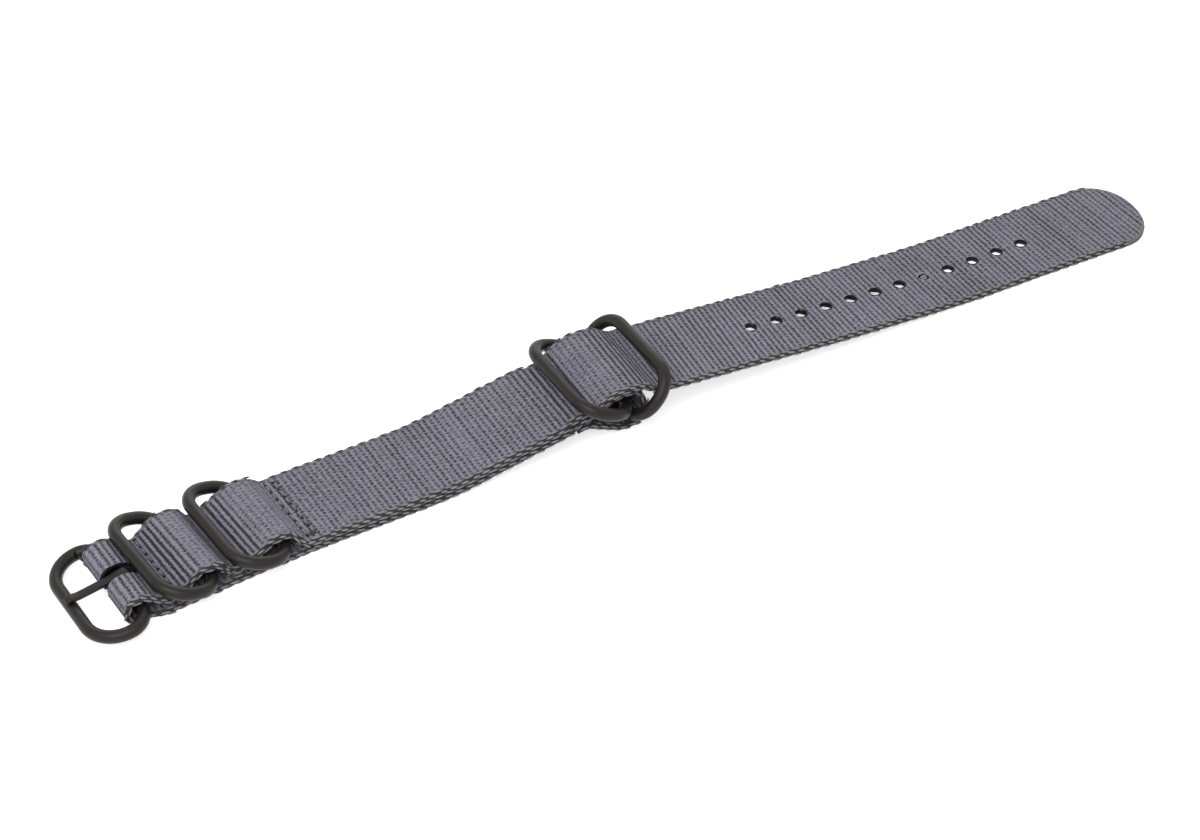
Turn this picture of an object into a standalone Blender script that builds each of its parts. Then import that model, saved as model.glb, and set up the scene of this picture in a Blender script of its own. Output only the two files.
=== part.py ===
"""Webbing watch strap with a pin buckle, two keeper rings and two head rings, lying open on a table.

Metres. +X runs from the buckle to the tip of the tail, +Y across the webbing and +Z up. The origin is on
the table, under the middle of the strap. Until it is centred at the end, x counts from the buckle's outer
edge.
"""

import math

import bmesh
import bpy
from mathutils import Vector

# Webbing
STRAP_WIDTH = 0.022
STRAP_THICKNESS = 0.0013
CLEARANCE = 0.0003
HALF_WIDTH = STRAP_WIDTH / 2
HALF_THICKNESS = STRAP_THICKNESS / 2
LAYER_PITCH = STRAP_THICKNESS + CLEARANCE
LOWER_Z = HALF_THICKNESS
UPPER_Z = LOWER_Z + LAYER_PITCH
STATION_STEP = 0.0025
LEAST_STEP = 0.00006
ARC_STEP = math.radians(12)
SMOOTH_ANGLE = math.radians(40)

# Round wire of the rings and the buckle frame
WIRE_RADIUS = 0.00135
WIRE_SIDES = 12
CORNER_STEPS = 6
HARDWARE_WIDTH = 0.0262
RING_LENGTH = 0.0118
RING_CORNER = 0.0055
BAR_Z = STRAP_THICKNESS + CLEARANCE + WIRE_RADIUS

# Buckle
PIN_X = 0.0121
BUCKLE_LENGTH = 0.0108
BUCKLE_WIDTH = 0.0257
BUCKLE_SHIFT = 0.0005
BUCKLE_PIN_CORNER = 0.0042
BUCKLE_OUTER_CORNER = 0.0066
BUCKLE_TURN = math.radians(4.2)
LOOP_RADIUS = 0.00245
LOOP_SHIFT = 0.0007
LOOP_SHOULDER = 0.0008
LOOP_SLOPE = 0.0048
LOOP_SLOPE_RADIUS = 0.003
SLOT_WIDTH = 0.0034
SLOT_LENGTH = 0.0072

# Tongue, in the buckle's own plane, from the pin outwards
TONGUE_WIDTH = 0.0019
TONGUE_THICKNESS = 0.0009
TONGUE_PLAY = 0.0002
TONGUE_DIP = 0.0004
TONGUE_KINK = 0.0019
TONGUE_OVERHANG = 0.0009
TONGUE_NOSE_DROP = 0.0004
TONGUE_BEND = 0.002
TONGUE_TAIL = 0.0029
TONGUE_TAIL_DROP = 0.0002

# Squeeze of the webbing where it runs through the frame and the rings
SQUEEZE = 0.001
SQUEEZE_RUN = 0.0015
SQUEEZE_FADE = 0.003
PASSED_HALF_WIDTH = HALF_WIDTH - SQUEEZE

# Keeper rings in the pockets of the upper layer
KEEPER_1_X = 0.0272
KEEPER_2_X = 0.0436
KEEPER_1_LEAN = math.radians(16.5)
KEEPER_2_LEAN = math.radians(14.5)
POCKET_1_START = 0.0197
POCKET_2_START = 0.0344
POCKET_SHOULDER_RUN = 0.0004
POCKET_CREST_RUN = 0.0014
POCKET_CREST_LIFT = 0.0004
POCKET_END_RUN = 0.0045
POCKET_FOOT_RADIUS = 0.0018
POCKET_SHOULDER_RADIUS = 0.0025
POCKET_CREST_RADIUS = 0.003

# Seams
LOOP_SEAM_X = 0.0190
VALLEY_SEAM_X = 0.0329
FOLD_END_X = 0.0498
JOIN_ROW_1_X = 0.0491
JOIN_ROW_2_X = 0.0508
SHORT_START_X = FOLD_END_X + CLEARANCE
HEAD_SEAM_X = 0.1114
THREAD_RADIUS = 0.00018
THREAD_PLAY = 0.00006
THREAD_SIDES = 6
STITCH_PITCH = 0.0024
SEAM_MARGIN = 0.0022
GROOVE_WIDTH = 0.0007
GROOVE_DEPTH = 2 * THREAD_RADIUS + 2 * THREAD_PLAY

# Head: the short strap's loop, the two rings in it and the long strap over it
HEAD_LEFT_BAR = (0.1219, 0.0061)
HEAD_RIGHT_BAR = (0.1229, 0.0031)
HEAD_LEFT_LEAN = math.radians(23.0)
HEAD_RIGHT_LEAN = math.radians(48.0)
RISE_START_X = 0.0809
RISE_END = (0.1118, 0.0076)
RISE_START_RADIUS = 0.08
RISE_END_RADIUS = 0.02
CREST_BACK = 0.0032
CREST_LENGTH = 0.0060
CREST_RADIUS = 0.009
HEAD_STEP_DOWN = (0.0042, 0.0030)
HEAD_STEP_RADIUS = 0.006
LOOP_TOP_RUN = 0.0027
LOOP_TOP_RADIUS = 0.0030
LOOP_NOSE = (0.0036, 0.0011)
LOOP_NOSE_RADIUS = 0.0026
LOOP_SOLE_RUN = 0.0022
LOOP_SOLE_RADIUS = 0.0018
LOOP_HEEL_BACK = 0.0024
LOOP_HEEL_RADIUS = 0.004
HEAD_FOLD_LENGTH = 0.0025

# Tail
TAIL_KNEE = (0.1738, 0.0032)
TAIL_KNEE_RADIUS = 0.2
TAIL_DOWN_X = 0.2055
TAIL_DOWN_RADIUS = 0.2
TIP_X = 0.2570
TIP_ROUND = 0.010
TIP_ROUND_STEPS = 7
TIP_LAST_ANGLE = math.radians(85)
TIP_POWER = 2.2
HOLE_RADIUS = 0.00115
HOLE_SIDES = 12
FIRST_HOLE_X = 0.1578
HOLE_PITCH = 0.00632
HOLE_COUNT = 12
UNCLEARED_HOLE = 8
PUNCH_CUT = 0.0003
PUNCH_ARC = math.radians(300)
OVERRUN = 0.001

# Lie of the strap on the table: a sideways bend at the buckle end and a slight one at the tail
BEND_END_X = 0.0538
BEND_LENGTH = 0.052
BEND_OFFSET = 0.0035
BEND_POWER = 1.5
DRIFT_START_X = 0.1938
DRIFT_OFFSET = 0.0015
DRIFT_LENGTH = TIP_X - DRIFT_START_X

# Finishes: colour, roughness, metallic
WEBBING = ("grey_webbing", (0.165, 0.162, 0.190), 0.85, 0.0)
STEEL = ("dark_steel", (0.040, 0.038, 0.037), 0.42, 0.9)
THREAD = ("dark_thread", (0.060, 0.058, 0.075), 0.8, 0.0)


def clear_scene():
    """Removes what the startup scene holds."""
    for obj in list(bpy.data.objects):
        bpy.data.objects.remove(obj, do_unlink=True)


def material(finish):
    """The Principled material of a finish, made once."""
    name, colour, roughness, metallic = finish
    found = bpy.data.materials.get(name)
    if found:
        return found
    made = bpy.data.materials.new(name)
    made.use_nodes = True
    shader = made.node_tree.nodes["Principled BSDF"]
    shader.inputs["Base Color"].default_value = (*colour, 1.0)
    shader.inputs["Roughness"].default_value = roughness
    shader.inputs["Metallic"].default_value = metallic
    return made


def bend_at(x):
    """How far to the side the strap's middle line lies at x, and its slope there."""
    if x < BEND_END_X:
        share = (BEND_END_X - x) / BEND_LENGTH
        slope = BEND_OFFSET * BEND_POWER * share ** (BEND_POWER - 1) / BEND_LENGTH
        return -BEND_OFFSET * share**BEND_POWER, slope
    if x > DRIFT_START_X:
        share = (x - DRIFT_START_X) / DRIFT_LENGTH
        return -DRIFT_OFFSET * share**2, -2 * DRIFT_OFFSET * share / DRIFT_LENGTH
    return 0.0, 0.0


def smooth_step(share):
    """A share between 0 and 1, eased at both ends."""
    held = min(max(share, 0), 1)
    return held * held * (3 - 2 * held)


def cross_turn(x):
    """How far the webbing's weft is turned at x: square to the bent line, less a skew at the buckle."""
    skew = BUCKLE_TURN * smooth_step((KEEPER_1_X - x) / (KEEPER_1_X - PIN_X))
    return math.atan(bend_at(x)[1]) - skew


def lay(x, y, z):
    """A point of the straight strap, moved to where the bent strap holds it."""
    turn = cross_turn(x)
    return Vector((x - y * math.sin(turn), bend_at(x)[0] + y * math.cos(turn), z))


def corner_reach():
    """How far a ring's corners reach in from the captured bar's axis, beside the squeezed webbing."""
    beside = PASSED_HALF_WIDTH - (HARDWARE_WIDTH / 2 - RING_CORNER)
    if beside <= 0:
        return WIRE_RADIUS
    inner = RING_CORNER - WIRE_RADIUS
    return RING_CORNER - math.sqrt(max(inner**2 - beside**2, 0))


def over_ring(bar_z, lean):
    """Height of webbing that crosses over a ring's corners, a corner's reach before the captured bar."""
    wire_top = bar_z + corner_reach() * math.sin(lean) + WIRE_RADIUS / math.cos(lean)
    return wire_top + CLEARANCE + HALF_THICKNESS


def rounded_path(corners):
    """Points along straight runs between (x, z, radius) corners, turned by arcs, with a station every step."""
    turned = [Vector(corners[0][:2])]
    for before, corner, after in zip(corners, corners[1:], corners[2:]):
        here = Vector(corner[:2])
        back = Vector(before[:2]) - here
        ahead = Vector(after[:2]) - here
        half_angle = back.angle(ahead) / 2
        most = min(back.length, ahead.length) / 2
        reach = min(corner[2] / math.tan(half_angle), most)
        radius = reach * math.tan(half_angle)
        middle = (back.normalized() + ahead.normalized()).normalized()
        centre = here + middle * (radius / math.sin(half_angle))
        start = here + back.normalized() * reach - centre
        sweep = math.pi - 2 * half_angle
        left_turn = back.x * ahead.y - back.y * ahead.x < 0
        steps = max(2, math.ceil(sweep / ARC_STEP))
        for step in range(steps + 1):
            angle = sweep * step / steps * (1 if left_turn else -1)
            cosine, sine = math.cos(angle), math.sin(angle)
            spoke = (start.x * cosine - start.y * sine, start.x * sine + start.y * cosine)
            turned.append(centre + Vector(spoke))
    turned.append(Vector(corners[-1][:2]))
    path = [turned[0]]
    for end in turned[1:]:
        start = path[-1]
        if (end - start).length < LEAST_STEP:
            continue
        parts = math.ceil((end - start).length / STATION_STEP)
        path.extend(start.lerp(end, part / parts) for part in range(1, parts + 1))
    return path


def path_normals(path):
    """The left-hand normal of the path at each of its points."""
    normals = []
    for index in range(len(path)):
        along = path[min(index + 1, len(path) - 1)] - path[max(index - 1, 0)]
        normals.append(Vector((-along.y, along.x)).normalized())
    return normals


def pocket(bar_x, start_x, lean):
    """Corners of the upper layer where it swells over the captured bar of a keeper ring."""
    shoulder_x = bar_x - corner_reach() - POCKET_SHOULDER_RUN
    crest_z = BAR_Z + WIRE_RADIUS + CLEARANCE + HALF_THICKNESS + POCKET_CREST_LIFT
    return [
        (start_x, UPPER_Z, POCKET_FOOT_RADIUS),
        (shoulder_x, over_ring(BAR_Z, lean), POCKET_SHOULDER_RADIUS),
        (bar_x + POCKET_CREST_RUN, crest_z, POCKET_CREST_RADIUS),
        (bar_x + POCKET_END_RUN, UPPER_Z, POCKET_FOOT_RADIUS),
    ]


def head_crest_z():
    """Height of the short strap's middle line where it crosses over the left head ring."""
    return over_ring(HEAD_LEFT_BAR[1], HEAD_LEFT_LEAN)


def long_strap_path():
    """From the raw end under the keepers, round the buckle pin, over everything and down to the tip."""
    turn_x = PIN_X - LOOP_SHIFT - LOOP_RADIUS
    loop_top_z = LOWER_Z + 2 * LOOP_RADIUS
    slope_x = PIN_X + LOOP_SHOULDER
    crest_z = head_crest_z() + LAYER_PITCH
    crest_x = HEAD_LEFT_BAR[0] - CREST_BACK
    step_x = crest_x + CREST_LENGTH
    corners = [
        (FOLD_END_X, LOWER_Z, 0),
        (turn_x, LOWER_Z, LOOP_RADIUS),
        (turn_x, loop_top_z, LOOP_RADIUS),
        (slope_x, loop_top_z, LOOP_SLOPE_RADIUS),
        (slope_x + LOOP_SLOPE, UPPER_Z, LOOP_SLOPE_RADIUS),
        *pocket(KEEPER_1_X, POCKET_1_START, KEEPER_1_LEAN),
        *pocket(KEEPER_2_X, POCKET_2_START, KEEPER_2_LEAN),
        (RISE_START_X, UPPER_Z, RISE_START_RADIUS),
        (*RISE_END, RISE_END_RADIUS),
        (crest_x, crest_z, CREST_RADIUS),
        (step_x, crest_z, CREST_RADIUS),
        (step_x + HEAD_STEP_DOWN[0], crest_z - HEAD_STEP_DOWN[1], HEAD_STEP_RADIUS),
        (*TAIL_KNEE, TAIL_KNEE_RADIUS),
        (TAIL_DOWN_X, LOWER_Z, TAIL_DOWN_RADIUS),
        (TIP_X - TIP_ROUND, LOWER_Z, 0),
    ]
    path = rounded_path(corners)
    for step in range(1, TIP_ROUND_STEPS + 1):
        along = math.sin(TIP_LAST_ANGLE * step / TIP_ROUND_STEPS)
        path.append(Vector((TIP_X - TIP_ROUND + TIP_ROUND * along, LOWER_Z)))
    return path


def short_strap_path():
    """From the joining seam along the table, up and round both head rings' bars, and back under itself."""
    rise = Vector(RISE_END) - Vector((RISE_START_X, UPPER_Z))
    climb = Vector((HEAD_LEFT_BAR[0] - CREST_BACK, head_crest_z() + LAYER_PITCH)) - Vector(RISE_END)
    rise_angle = math.atan2(rise.y, rise.x)
    climb_angle = math.atan2(climb.y, climb.x)
    bend = (rise_angle + climb_angle) / 2
    down = Vector((math.sin(bend), -math.cos(bend))) * (LAYER_PITCH / math.cos((climb_angle - rise_angle) / 2))
    foot = Vector(RISE_END) + down
    fold = foot + down
    top_z = head_crest_z()
    sole_z = HEAD_RIGHT_BAR[1] - WIRE_RADIUS - CLEARANCE - HALF_THICKNESS
    start_shift = LAYER_PITCH * math.tan(rise_angle / 2)
    fold_end = fold - Vector((math.cos(rise_angle), math.sin(rise_angle))) * HEAD_FOLD_LENGTH
    corners = [
        (SHORT_START_X, LOWER_Z, 0),
        (RISE_START_X + start_shift, LOWER_Z, RISE_START_RADIUS),
        (foot.x, foot.y, RISE_END_RADIUS + LAYER_PITCH),
        (foot.x + (top_z - foot.y) / math.tan(climb_angle), top_z, CREST_RADIUS - LAYER_PITCH),
        (HEAD_LEFT_BAR[0] + LOOP_TOP_RUN, top_z, LOOP_TOP_RADIUS),
        (HEAD_RIGHT_BAR[0] + LOOP_NOSE[0], HEAD_RIGHT_BAR[1] + LOOP_NOSE[1], LOOP_NOSE_RADIUS),
        (HEAD_RIGHT_BAR[0] + LOOP_SOLE_RUN, sole_z, LOOP_SOLE_RADIUS),
        (HEAD_RIGHT_BAR[0] - LOOP_HEEL_BACK, sole_z, LOOP_HEEL_RADIUS),
        (fold.x, fold.y, LOOP_HEEL_RADIUS),
        (fold_end.x, fold_end.y, 0),
    ]
    return rounded_path(corners)


def half_width_at(x, squeezed):
    """Half the webbing's width, less where a ring squeezes it and round the tip of the tail."""
    share = (x - (TIP_X - TIP_ROUND)) / TIP_ROUND
    if share > 0:
        return HALF_WIDTH * (1 - share**TIP_POWER) ** (1 / TIP_POWER)
    shares = [smooth_step(1 - max(start - x, x - end) / SQUEEZE_FADE) for start, end in squeezed]
    return HALF_WIDTH - SQUEEZE * max(shares)


def long_strap_widths(path):
    """Half widths along the long strap: its fold is squeezed at the buckle only, its upper run in the rings."""
    buckle = (0, PIN_X + SQUEEZE_RUN)
    inner = (0, KEEPER_1_X + SQUEEZE_RUN)
    outer = (KEEPER_2_X - RING_LENGTH, KEEPER_2_X + SQUEEZE_RUN)
    turn = min(range(len(path)), key=lambda index: path[index].x)
    under_head = (head_span()[0] - SQUEEZE_RUN, head_span()[0] + SQUEEZE_RUN)
    fold = [half_width_at(point.x, [buckle]) for point in path[:turn]]
    return fold + [half_width_at(point.x, [inner, outer, under_head]) for point in path[turn:]]


def short_strap_widths(path):
    """Half widths along the short strap, which both head rings squeeze."""
    return [half_width_at(point.x, [head_span()]) for point in path]


def head_span():
    """Where the two head rings squeeze the webbing, from one free bar to the other."""
    left = HEAD_LEFT_BAR[0] - RING_LENGTH * math.cos(HEAD_LEFT_LEAN)
    right = HEAD_RIGHT_BAR[0] + RING_LENGTH * math.cos(HEAD_RIGHT_LEAN)
    return left, right


def add_object(name, mesh_data, finish, parent):
    """Links a finished bmesh as a named object under its parent, with its normals facing out."""
    bmesh.ops.recalc_face_normals(mesh_data, faces=mesh_data.faces)
    mesh = bpy.data.meshes.new(name)
    mesh_data.to_mesh(mesh)
    mesh_data.free()
    if finish:
        mesh.materials.append(material(finish))
    obj = bpy.data.objects.new(name, mesh)
    bpy.context.scene.collection.objects.link(obj)
    obj.parent = parent
    return obj


def shade_round(obj):
    """Smooth shading that keeps true edges sharp."""
    obj.data.shade_smooth()
    obj.data.set_sharp_from_angle(angle=SMOOTH_ANGLE)


def bridge(mesh_data, sections, closed):
    """Faces between neighbouring sections of equal vertex count, with end caps unless the row closes."""
    count = len(sections)
    for index in range(count if closed else count - 1):
        here, there = sections[index], sections[(index + 1) % count]
        for side in range(len(here)):
            after = (side + 1) % len(here)
            mesh_data.faces.new((here[side], here[after], there[after], there[side]))
    if not closed:
        mesh_data.faces.new(sections[0])
        mesh_data.faces.new(sections[-1])


def add_webbing(name, path, widths, parent):
    """Flat webbing swept along a path in the XZ plane and laid on the bent line."""
    mesh_data = bmesh.new()
    sections = []
    for point, normal, half in zip(path, path_normals(path), widths):
        upper = point + normal * HALF_THICKNESS
        lower = point - normal * HALF_THICKNESS
        places = ((upper, -half), (upper, half), (lower, half), (lower, -half))
        sections.append([mesh_data.verts.new(lay(at.x, y, at.y)) for at, y in places])
    bridge(mesh_data, sections, closed=False)
    return add_object(name, mesh_data, WEBBING, parent)


def surface_spot(path, x, later, above):
    """Where the path crosses x, first or last, on its upper or its lower surface, and the normal there."""
    crossings = [i for i in range(len(path) - 1) if (path[i].x - x) * (path[i + 1].x - x) <= 0]
    index = crossings[-1] if later else crossings[0]
    start, end = path[index], path[index + 1]
    middle = start.lerp(end, (x - start.x) / (end.x - start.x))
    along = (end - start).normalized()
    upward = Vector((-along.y, along.x)) * (1 if along.x > 0 else -1)
    outward = upward if above else -upward
    return middle + outward * HALF_THICKNESS, outward


def seam_rows():
    """The rows of stitching, each with its place along the strap."""
    return [
        ("loop_seam", LOOP_SEAM_X),
        ("valley_seam", VALLEY_SEAM_X),
        ("joining_seam_left", JOIN_ROW_1_X),
        ("joining_seam_right", JOIN_ROW_2_X),
        ("head_seam", HEAD_SEAM_X),
    ]


def seam_spots(x, long_path, short_path):
    """Surface spots of a row's needle thread and bobbin thread, each with the strap that carries it."""
    if x > JOIN_ROW_2_X:
        return (
            ("short_strap", surface_spot(short_path, x, later=False, above=True)),
            ("short_strap", surface_spot(short_path, x, later=True, above=False)),
        )
    needle = ("long_strap", surface_spot(long_path, x, later=True, above=True))
    if x > FOLD_END_X:
        return needle, ("short_strap", surface_spot(short_path, x, later=False, above=False))
    return needle, ("long_strap", surface_spot(long_path, x, later=False, above=False))


def add_thread(name, spot, crest, parent):
    """One thread of a row: it dips to its groove's floor at each stitch and rises to the crest between."""
    place, outward = spot
    along = Vector((outward.y, -outward.x))
    floor = -GROOVE_DEPTH + THREAD_RADIUS + THREAD_PLAY
    half_run = HALF_WIDTH - SEAM_MARGIN
    stitches = round(2 * half_run / STITCH_PITCH)
    mesh_data = bmesh.new()
    sections = []
    for step in range(2 * stitches + 1):
        y = half_run * (step / stitches - 1)
        height = crest if step % 2 else floor
        section = []
        for side in range(THREAD_SIDES):
            angle = math.tau * side / THREAD_SIDES
            at = place + outward * (height + THREAD_RADIUS * math.sin(angle))
            at = at + along * (THREAD_RADIUS * math.cos(angle))
            section.append(mesh_data.verts.new(lay(at.x, y, at.y)))
        sections.append(section)
    bridge(mesh_data, sections, closed=False)
    shade_round(add_object(name, mesh_data, THREAD, parent))


def add_groove(mesh_data, spot):
    """The cutter of the furrow that a row of stitches presses into the webbing."""
    place, outward = spot
    along = Vector((outward.y, -outward.x)) * (GROOVE_WIDTH / 2)
    top, bottom = outward * OVERRUN, outward * -GROOVE_DEPTH
    outline = [place + along + top, place - along + top, place - along + bottom, place + along + bottom]
    half_run = HALF_WIDTH - SEAM_MARGIN + THREAD_RADIUS + THREAD_PLAY
    sections = [[mesh_data.verts.new(lay(at.x, y, at.y)) for at in outline] for y in (-half_run, half_run)]
    bridge(mesh_data, sections, closed=False)


def add_post(mesh_data, outline, low, high):
    """A cutter that stands on the table: an outline in the XY plane, extruded upwards."""
    sections = [[mesh_data.verts.new(lay(x, y, z)) for x, y in outline] for z in (low, high)]
    bridge(mesh_data, sections, closed=False)


def slot_outline():
    """The tongue's slot, seen from above, through both layers of the loop."""
    start = PIN_X - LOOP_SHIFT - LOOP_RADIUS - STRAP_THICKNESS
    end = PIN_X - LOOP_SHIFT - LOOP_RADIUS + SLOT_LENGTH
    half = SLOT_WIDTH / 2
    return [(start, -half), (end, -half), (end, half), (start, half)]


def hole_outline(x):
    """A round punched hole."""
    angles = [math.tau * side / HOLE_SIDES for side in range(HOLE_SIDES)]
    return [(x + HOLE_RADIUS * math.cos(angle), HOLE_RADIUS * math.sin(angle)) for angle in angles]


def uncleared_outline(x):
    """The C-shaped cut of the hole whose plug was never pushed out."""
    angles = [PUNCH_ARC * (side / HOLE_SIDES) - PUNCH_ARC / 2 for side in range(HOLE_SIDES + 1)]
    outer = [(x + HOLE_RADIUS * math.cos(angle), HOLE_RADIUS * math.sin(angle)) for angle in angles]
    inner_radius = HOLE_RADIUS - PUNCH_CUT
    inner = [(x + inner_radius * math.cos(angle), inner_radius * math.sin(angle)) for angle in angles]
    return outer + inner[::-1]


def cut_with(target, mesh_data, parent):
    """Cuts the closed shapes of the bmesh out of the target."""
    cutter = add_object(target.name + "_cutter", mesh_data, None, parent)
    cutter.hide_render = True
    cutter.display_type = "WIRE"
    modifier = target.modifiers.new("cuts", "BOOLEAN")
    modifier.operation = "DIFFERENCE"
    modifier.solver = "EXACT"
    modifier.object = cutter


def add_straps(parent):
    """Both lengths of webbing, with the tongue's slot, the holes and every row of stitching."""
    paths = {"long_strap": long_strap_path(), "short_strap": short_strap_path()}
    cuts = {name: bmesh.new() for name in paths}
    widths = {
        "long_strap": long_strap_widths(paths["long_strap"]),
        "short_strap": short_strap_widths(paths["short_strap"]),
    }
    straps = {name: add_webbing(name, path, widths[name], parent) for name, path in paths.items()}
    for name, x in seam_rows():
        spots = seam_spots(x, paths["long_strap"], paths["short_strap"])
        sunk = -THREAD_RADIUS - THREAD_PLAY
        for kind, crest, (strap, spot) in zip(("needle", "bobbin"), (0, sunk), spots):
            add_groove(cuts[strap], spot)
            add_thread(f"{name}_{kind}_thread", spot, crest, parent)
    top = 2 * LOOP_RADIUS + STRAP_THICKNESS + OVERRUN
    add_post(cuts["long_strap"], slot_outline(), -OVERRUN, top)
    for number in range(1, HOLE_COUNT + 1):
        x = FIRST_HOLE_X + HOLE_PITCH * (number - 1)
        outline = uncleared_outline(x) if number == UNCLEARED_HOLE else hole_outline(x)
        add_post(cuts["long_strap"], outline, -OVERRUN, RISE_END[1] + OVERRUN)
    for name, mesh_data in cuts.items():
        cut_with(straps[name], mesh_data, parent)


def wire_outline(length, width, near_corner, far_corner):
    """Middle line of a rounded rectangle of wire whose captured bar lies on the Y axis."""
    half = width / 2
    corners = (
        (length - far_corner, half - far_corner, far_corner, 0),
        (near_corner, half - near_corner, near_corner, 1),
        (near_corner, near_corner - half, near_corner, 2),
        (length - far_corner, far_corner - half, far_corner, 3),
    )
    outline = []
    for x, y, radius, quarter in corners:
        for step in range(CORNER_STEPS + 1):
            angle = math.pi / 2 * (quarter + step / CORNER_STEPS)
            outline.append(Vector((x + radius * math.cos(angle), y + radius * math.sin(angle), 0)))
    return outline


def add_wire(name, outline, parent):
    """Round wire bent to a closed flat outline."""
    mesh_data = bmesh.new()
    sections = []
    count = len(outline)
    for index, point in enumerate(outline):
        along = (outline[(index + 1) % count] - outline[index - 1]).normalized()
        side = Vector((along.y, -along.x, 0))
        section = []
        for step in range(WIRE_SIDES):
            angle = math.tau * step / WIRE_SIDES
            offset = side * math.cos(angle) + Vector((0, 0, math.sin(angle)))
            section.append(mesh_data.verts.new(point + offset * WIRE_RADIUS))
        sections.append(section)
    bridge(mesh_data, sections, closed=True)
    obj = add_object(name, mesh_data, STEEL, parent)
    shade_round(obj)
    return obj


def hang(obj, x, y, z, lean, ahead):
    """Puts a piece's hinge axis at a place on the bent strap, leaning up from it, ahead or back."""
    obj.location = lay(x, y, z)
    turn = cross_turn(x)
    obj.rotation_euler = (0, -lean, turn if ahead else turn + math.pi)


def tongue_path():
    """Middle line of the tongue's strip, from its nose over the outer bar, round the pin, to its raw end."""
    eye = WIRE_RADIUS + TONGUE_PLAY + TONGUE_THICKNESS / 2
    rest_z = WIRE_RADIUS + CLEARANCE + TONGUE_THICKNESS / 2
    shank_z = rest_z - TONGUE_DIP
    return rounded_path([
        (BUCKLE_LENGTH + TONGUE_OVERHANG, rest_z - TONGUE_NOSE_DROP, 0),
        (BUCKLE_LENGTH, rest_z, TONGUE_BEND),
        (BUCKLE_LENGTH - TONGUE_KINK, shank_z, TONGUE_BEND),
        (TONGUE_TAIL, shank_z, TONGUE_BEND),
        (0, eye, TONGUE_BEND),
        (-eye, eye, eye),
        (-eye, -eye, eye),
        (eye / 2, -eye, eye / 2),
        (TONGUE_TAIL, -TONGUE_TAIL_DROP, 0),
    ])


def add_tongue(parent):
    """The buckle's tongue, a flat strip rolled round the pin."""
    path = tongue_path()
    mesh_data = bmesh.new()
    sections = []
    half = TONGUE_WIDTH / 2
    for point, normal in zip(path, path_normals(path)):
        outer = point + normal * (TONGUE_THICKNESS / 2)
        inner = point - normal * (TONGUE_THICKNESS / 2)
        places = ((outer, -half), (outer, half), (inner, half), (inner, -half))
        sections.append([mesh_data.verts.new((at.x, y, at.y)) for at, y in places])
    bridge(mesh_data, sections, closed=False)
    tongue = add_object("buckle_tongue", mesh_data, STEEL, parent)
    shade_round(tongue)
    return tongue


def add_buckle(parent):
    """The frame, hinged on the bar inside the strap's loop, and the tongue on the same bar."""
    lean = -math.asin((BAR_Z - WIRE_RADIUS) / BUCKLE_LENGTH)
    outline = wire_outline(BUCKLE_LENGTH, BUCKLE_WIDTH, BUCKLE_PIN_CORNER, BUCKLE_OUTER_CORNER)
    hang(add_wire("buckle_frame", outline, parent), PIN_X, -BUCKLE_SHIFT, BAR_Z, lean, ahead=False)
    hang(add_tongue(parent), PIN_X, 0, BAR_Z, lean, ahead=False)


def add_rings(parent):
    """The two keeper rings and the two head rings, each hinged on its captured bar."""
    rings = (
        ("keeper_ring_inner", KEEPER_1_X, BAR_Z, KEEPER_1_LEAN, False),
        ("keeper_ring_outer", KEEPER_2_X, BAR_Z, KEEPER_2_LEAN, False),
        ("head_ring_left", *HEAD_LEFT_BAR, HEAD_LEFT_LEAN, False),
        ("head_ring_right", *HEAD_RIGHT_BAR, HEAD_RIGHT_LEAN, True),
    )
    outline = wire_outline(RING_LENGTH, HARDWARE_WIDTH, RING_CORNER, RING_CORNER)
    for name, x, z, lean, ahead in rings:
        hang(add_wire(name, outline, parent), x, 0, z, lean, ahead)


def centre_on_table(parent):
    """Moves everything so that the origin is under the middle of the whole strap."""
    bpy.context.view_layer.update()
    graph = bpy.context.evaluated_depsgraph_get()
    corners = []
    for obj in parent.children:
        if not obj.hide_render:
            held = obj.evaluated_get(graph)
            corners.extend(held.matrix_world @ vertex.co for vertex in held.data.vertices)
    for axis in (0, 1):
        places = [corner[axis] for corner in corners]
        parent.location[axis] = -(min(places) + max(places)) / 2
    parent.location[2] = -min(corner[2] for corner in corners)


def build():
    """The whole strap."""
    clear_scene()
    parent = bpy.data.objects.new("strap_lie", None)
    bpy.context.scene.collection.objects.link(parent)
    add_straps(parent)
    add_buckle(parent)
    add_rings(parent)
    centre_on_table(parent)


build()
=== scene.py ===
"""The look of a woven watch strap: ribbed webbing with laced edges, stitching, and dark wire rings."""

import logging
import math
import random
from dataclasses import dataclass, field
from enum import Enum
from typing import Any, Sequence

import bmesh
import bpy
import numpy as np
from mathutils import Matrix, Vector


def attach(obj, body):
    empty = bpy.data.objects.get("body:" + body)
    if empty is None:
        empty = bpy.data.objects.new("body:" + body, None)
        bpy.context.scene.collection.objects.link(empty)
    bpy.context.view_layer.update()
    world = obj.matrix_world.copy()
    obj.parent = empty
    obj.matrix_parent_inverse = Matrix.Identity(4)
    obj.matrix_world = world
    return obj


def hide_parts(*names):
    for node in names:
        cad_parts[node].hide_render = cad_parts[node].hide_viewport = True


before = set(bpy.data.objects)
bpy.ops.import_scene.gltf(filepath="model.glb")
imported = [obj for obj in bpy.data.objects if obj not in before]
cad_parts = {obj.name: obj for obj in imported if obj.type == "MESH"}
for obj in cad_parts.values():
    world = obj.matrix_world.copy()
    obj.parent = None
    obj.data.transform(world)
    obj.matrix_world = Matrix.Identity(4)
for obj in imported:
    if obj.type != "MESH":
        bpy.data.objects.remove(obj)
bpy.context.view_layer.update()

LOG = logging.getLogger("strap")
MM = 0.001

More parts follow.
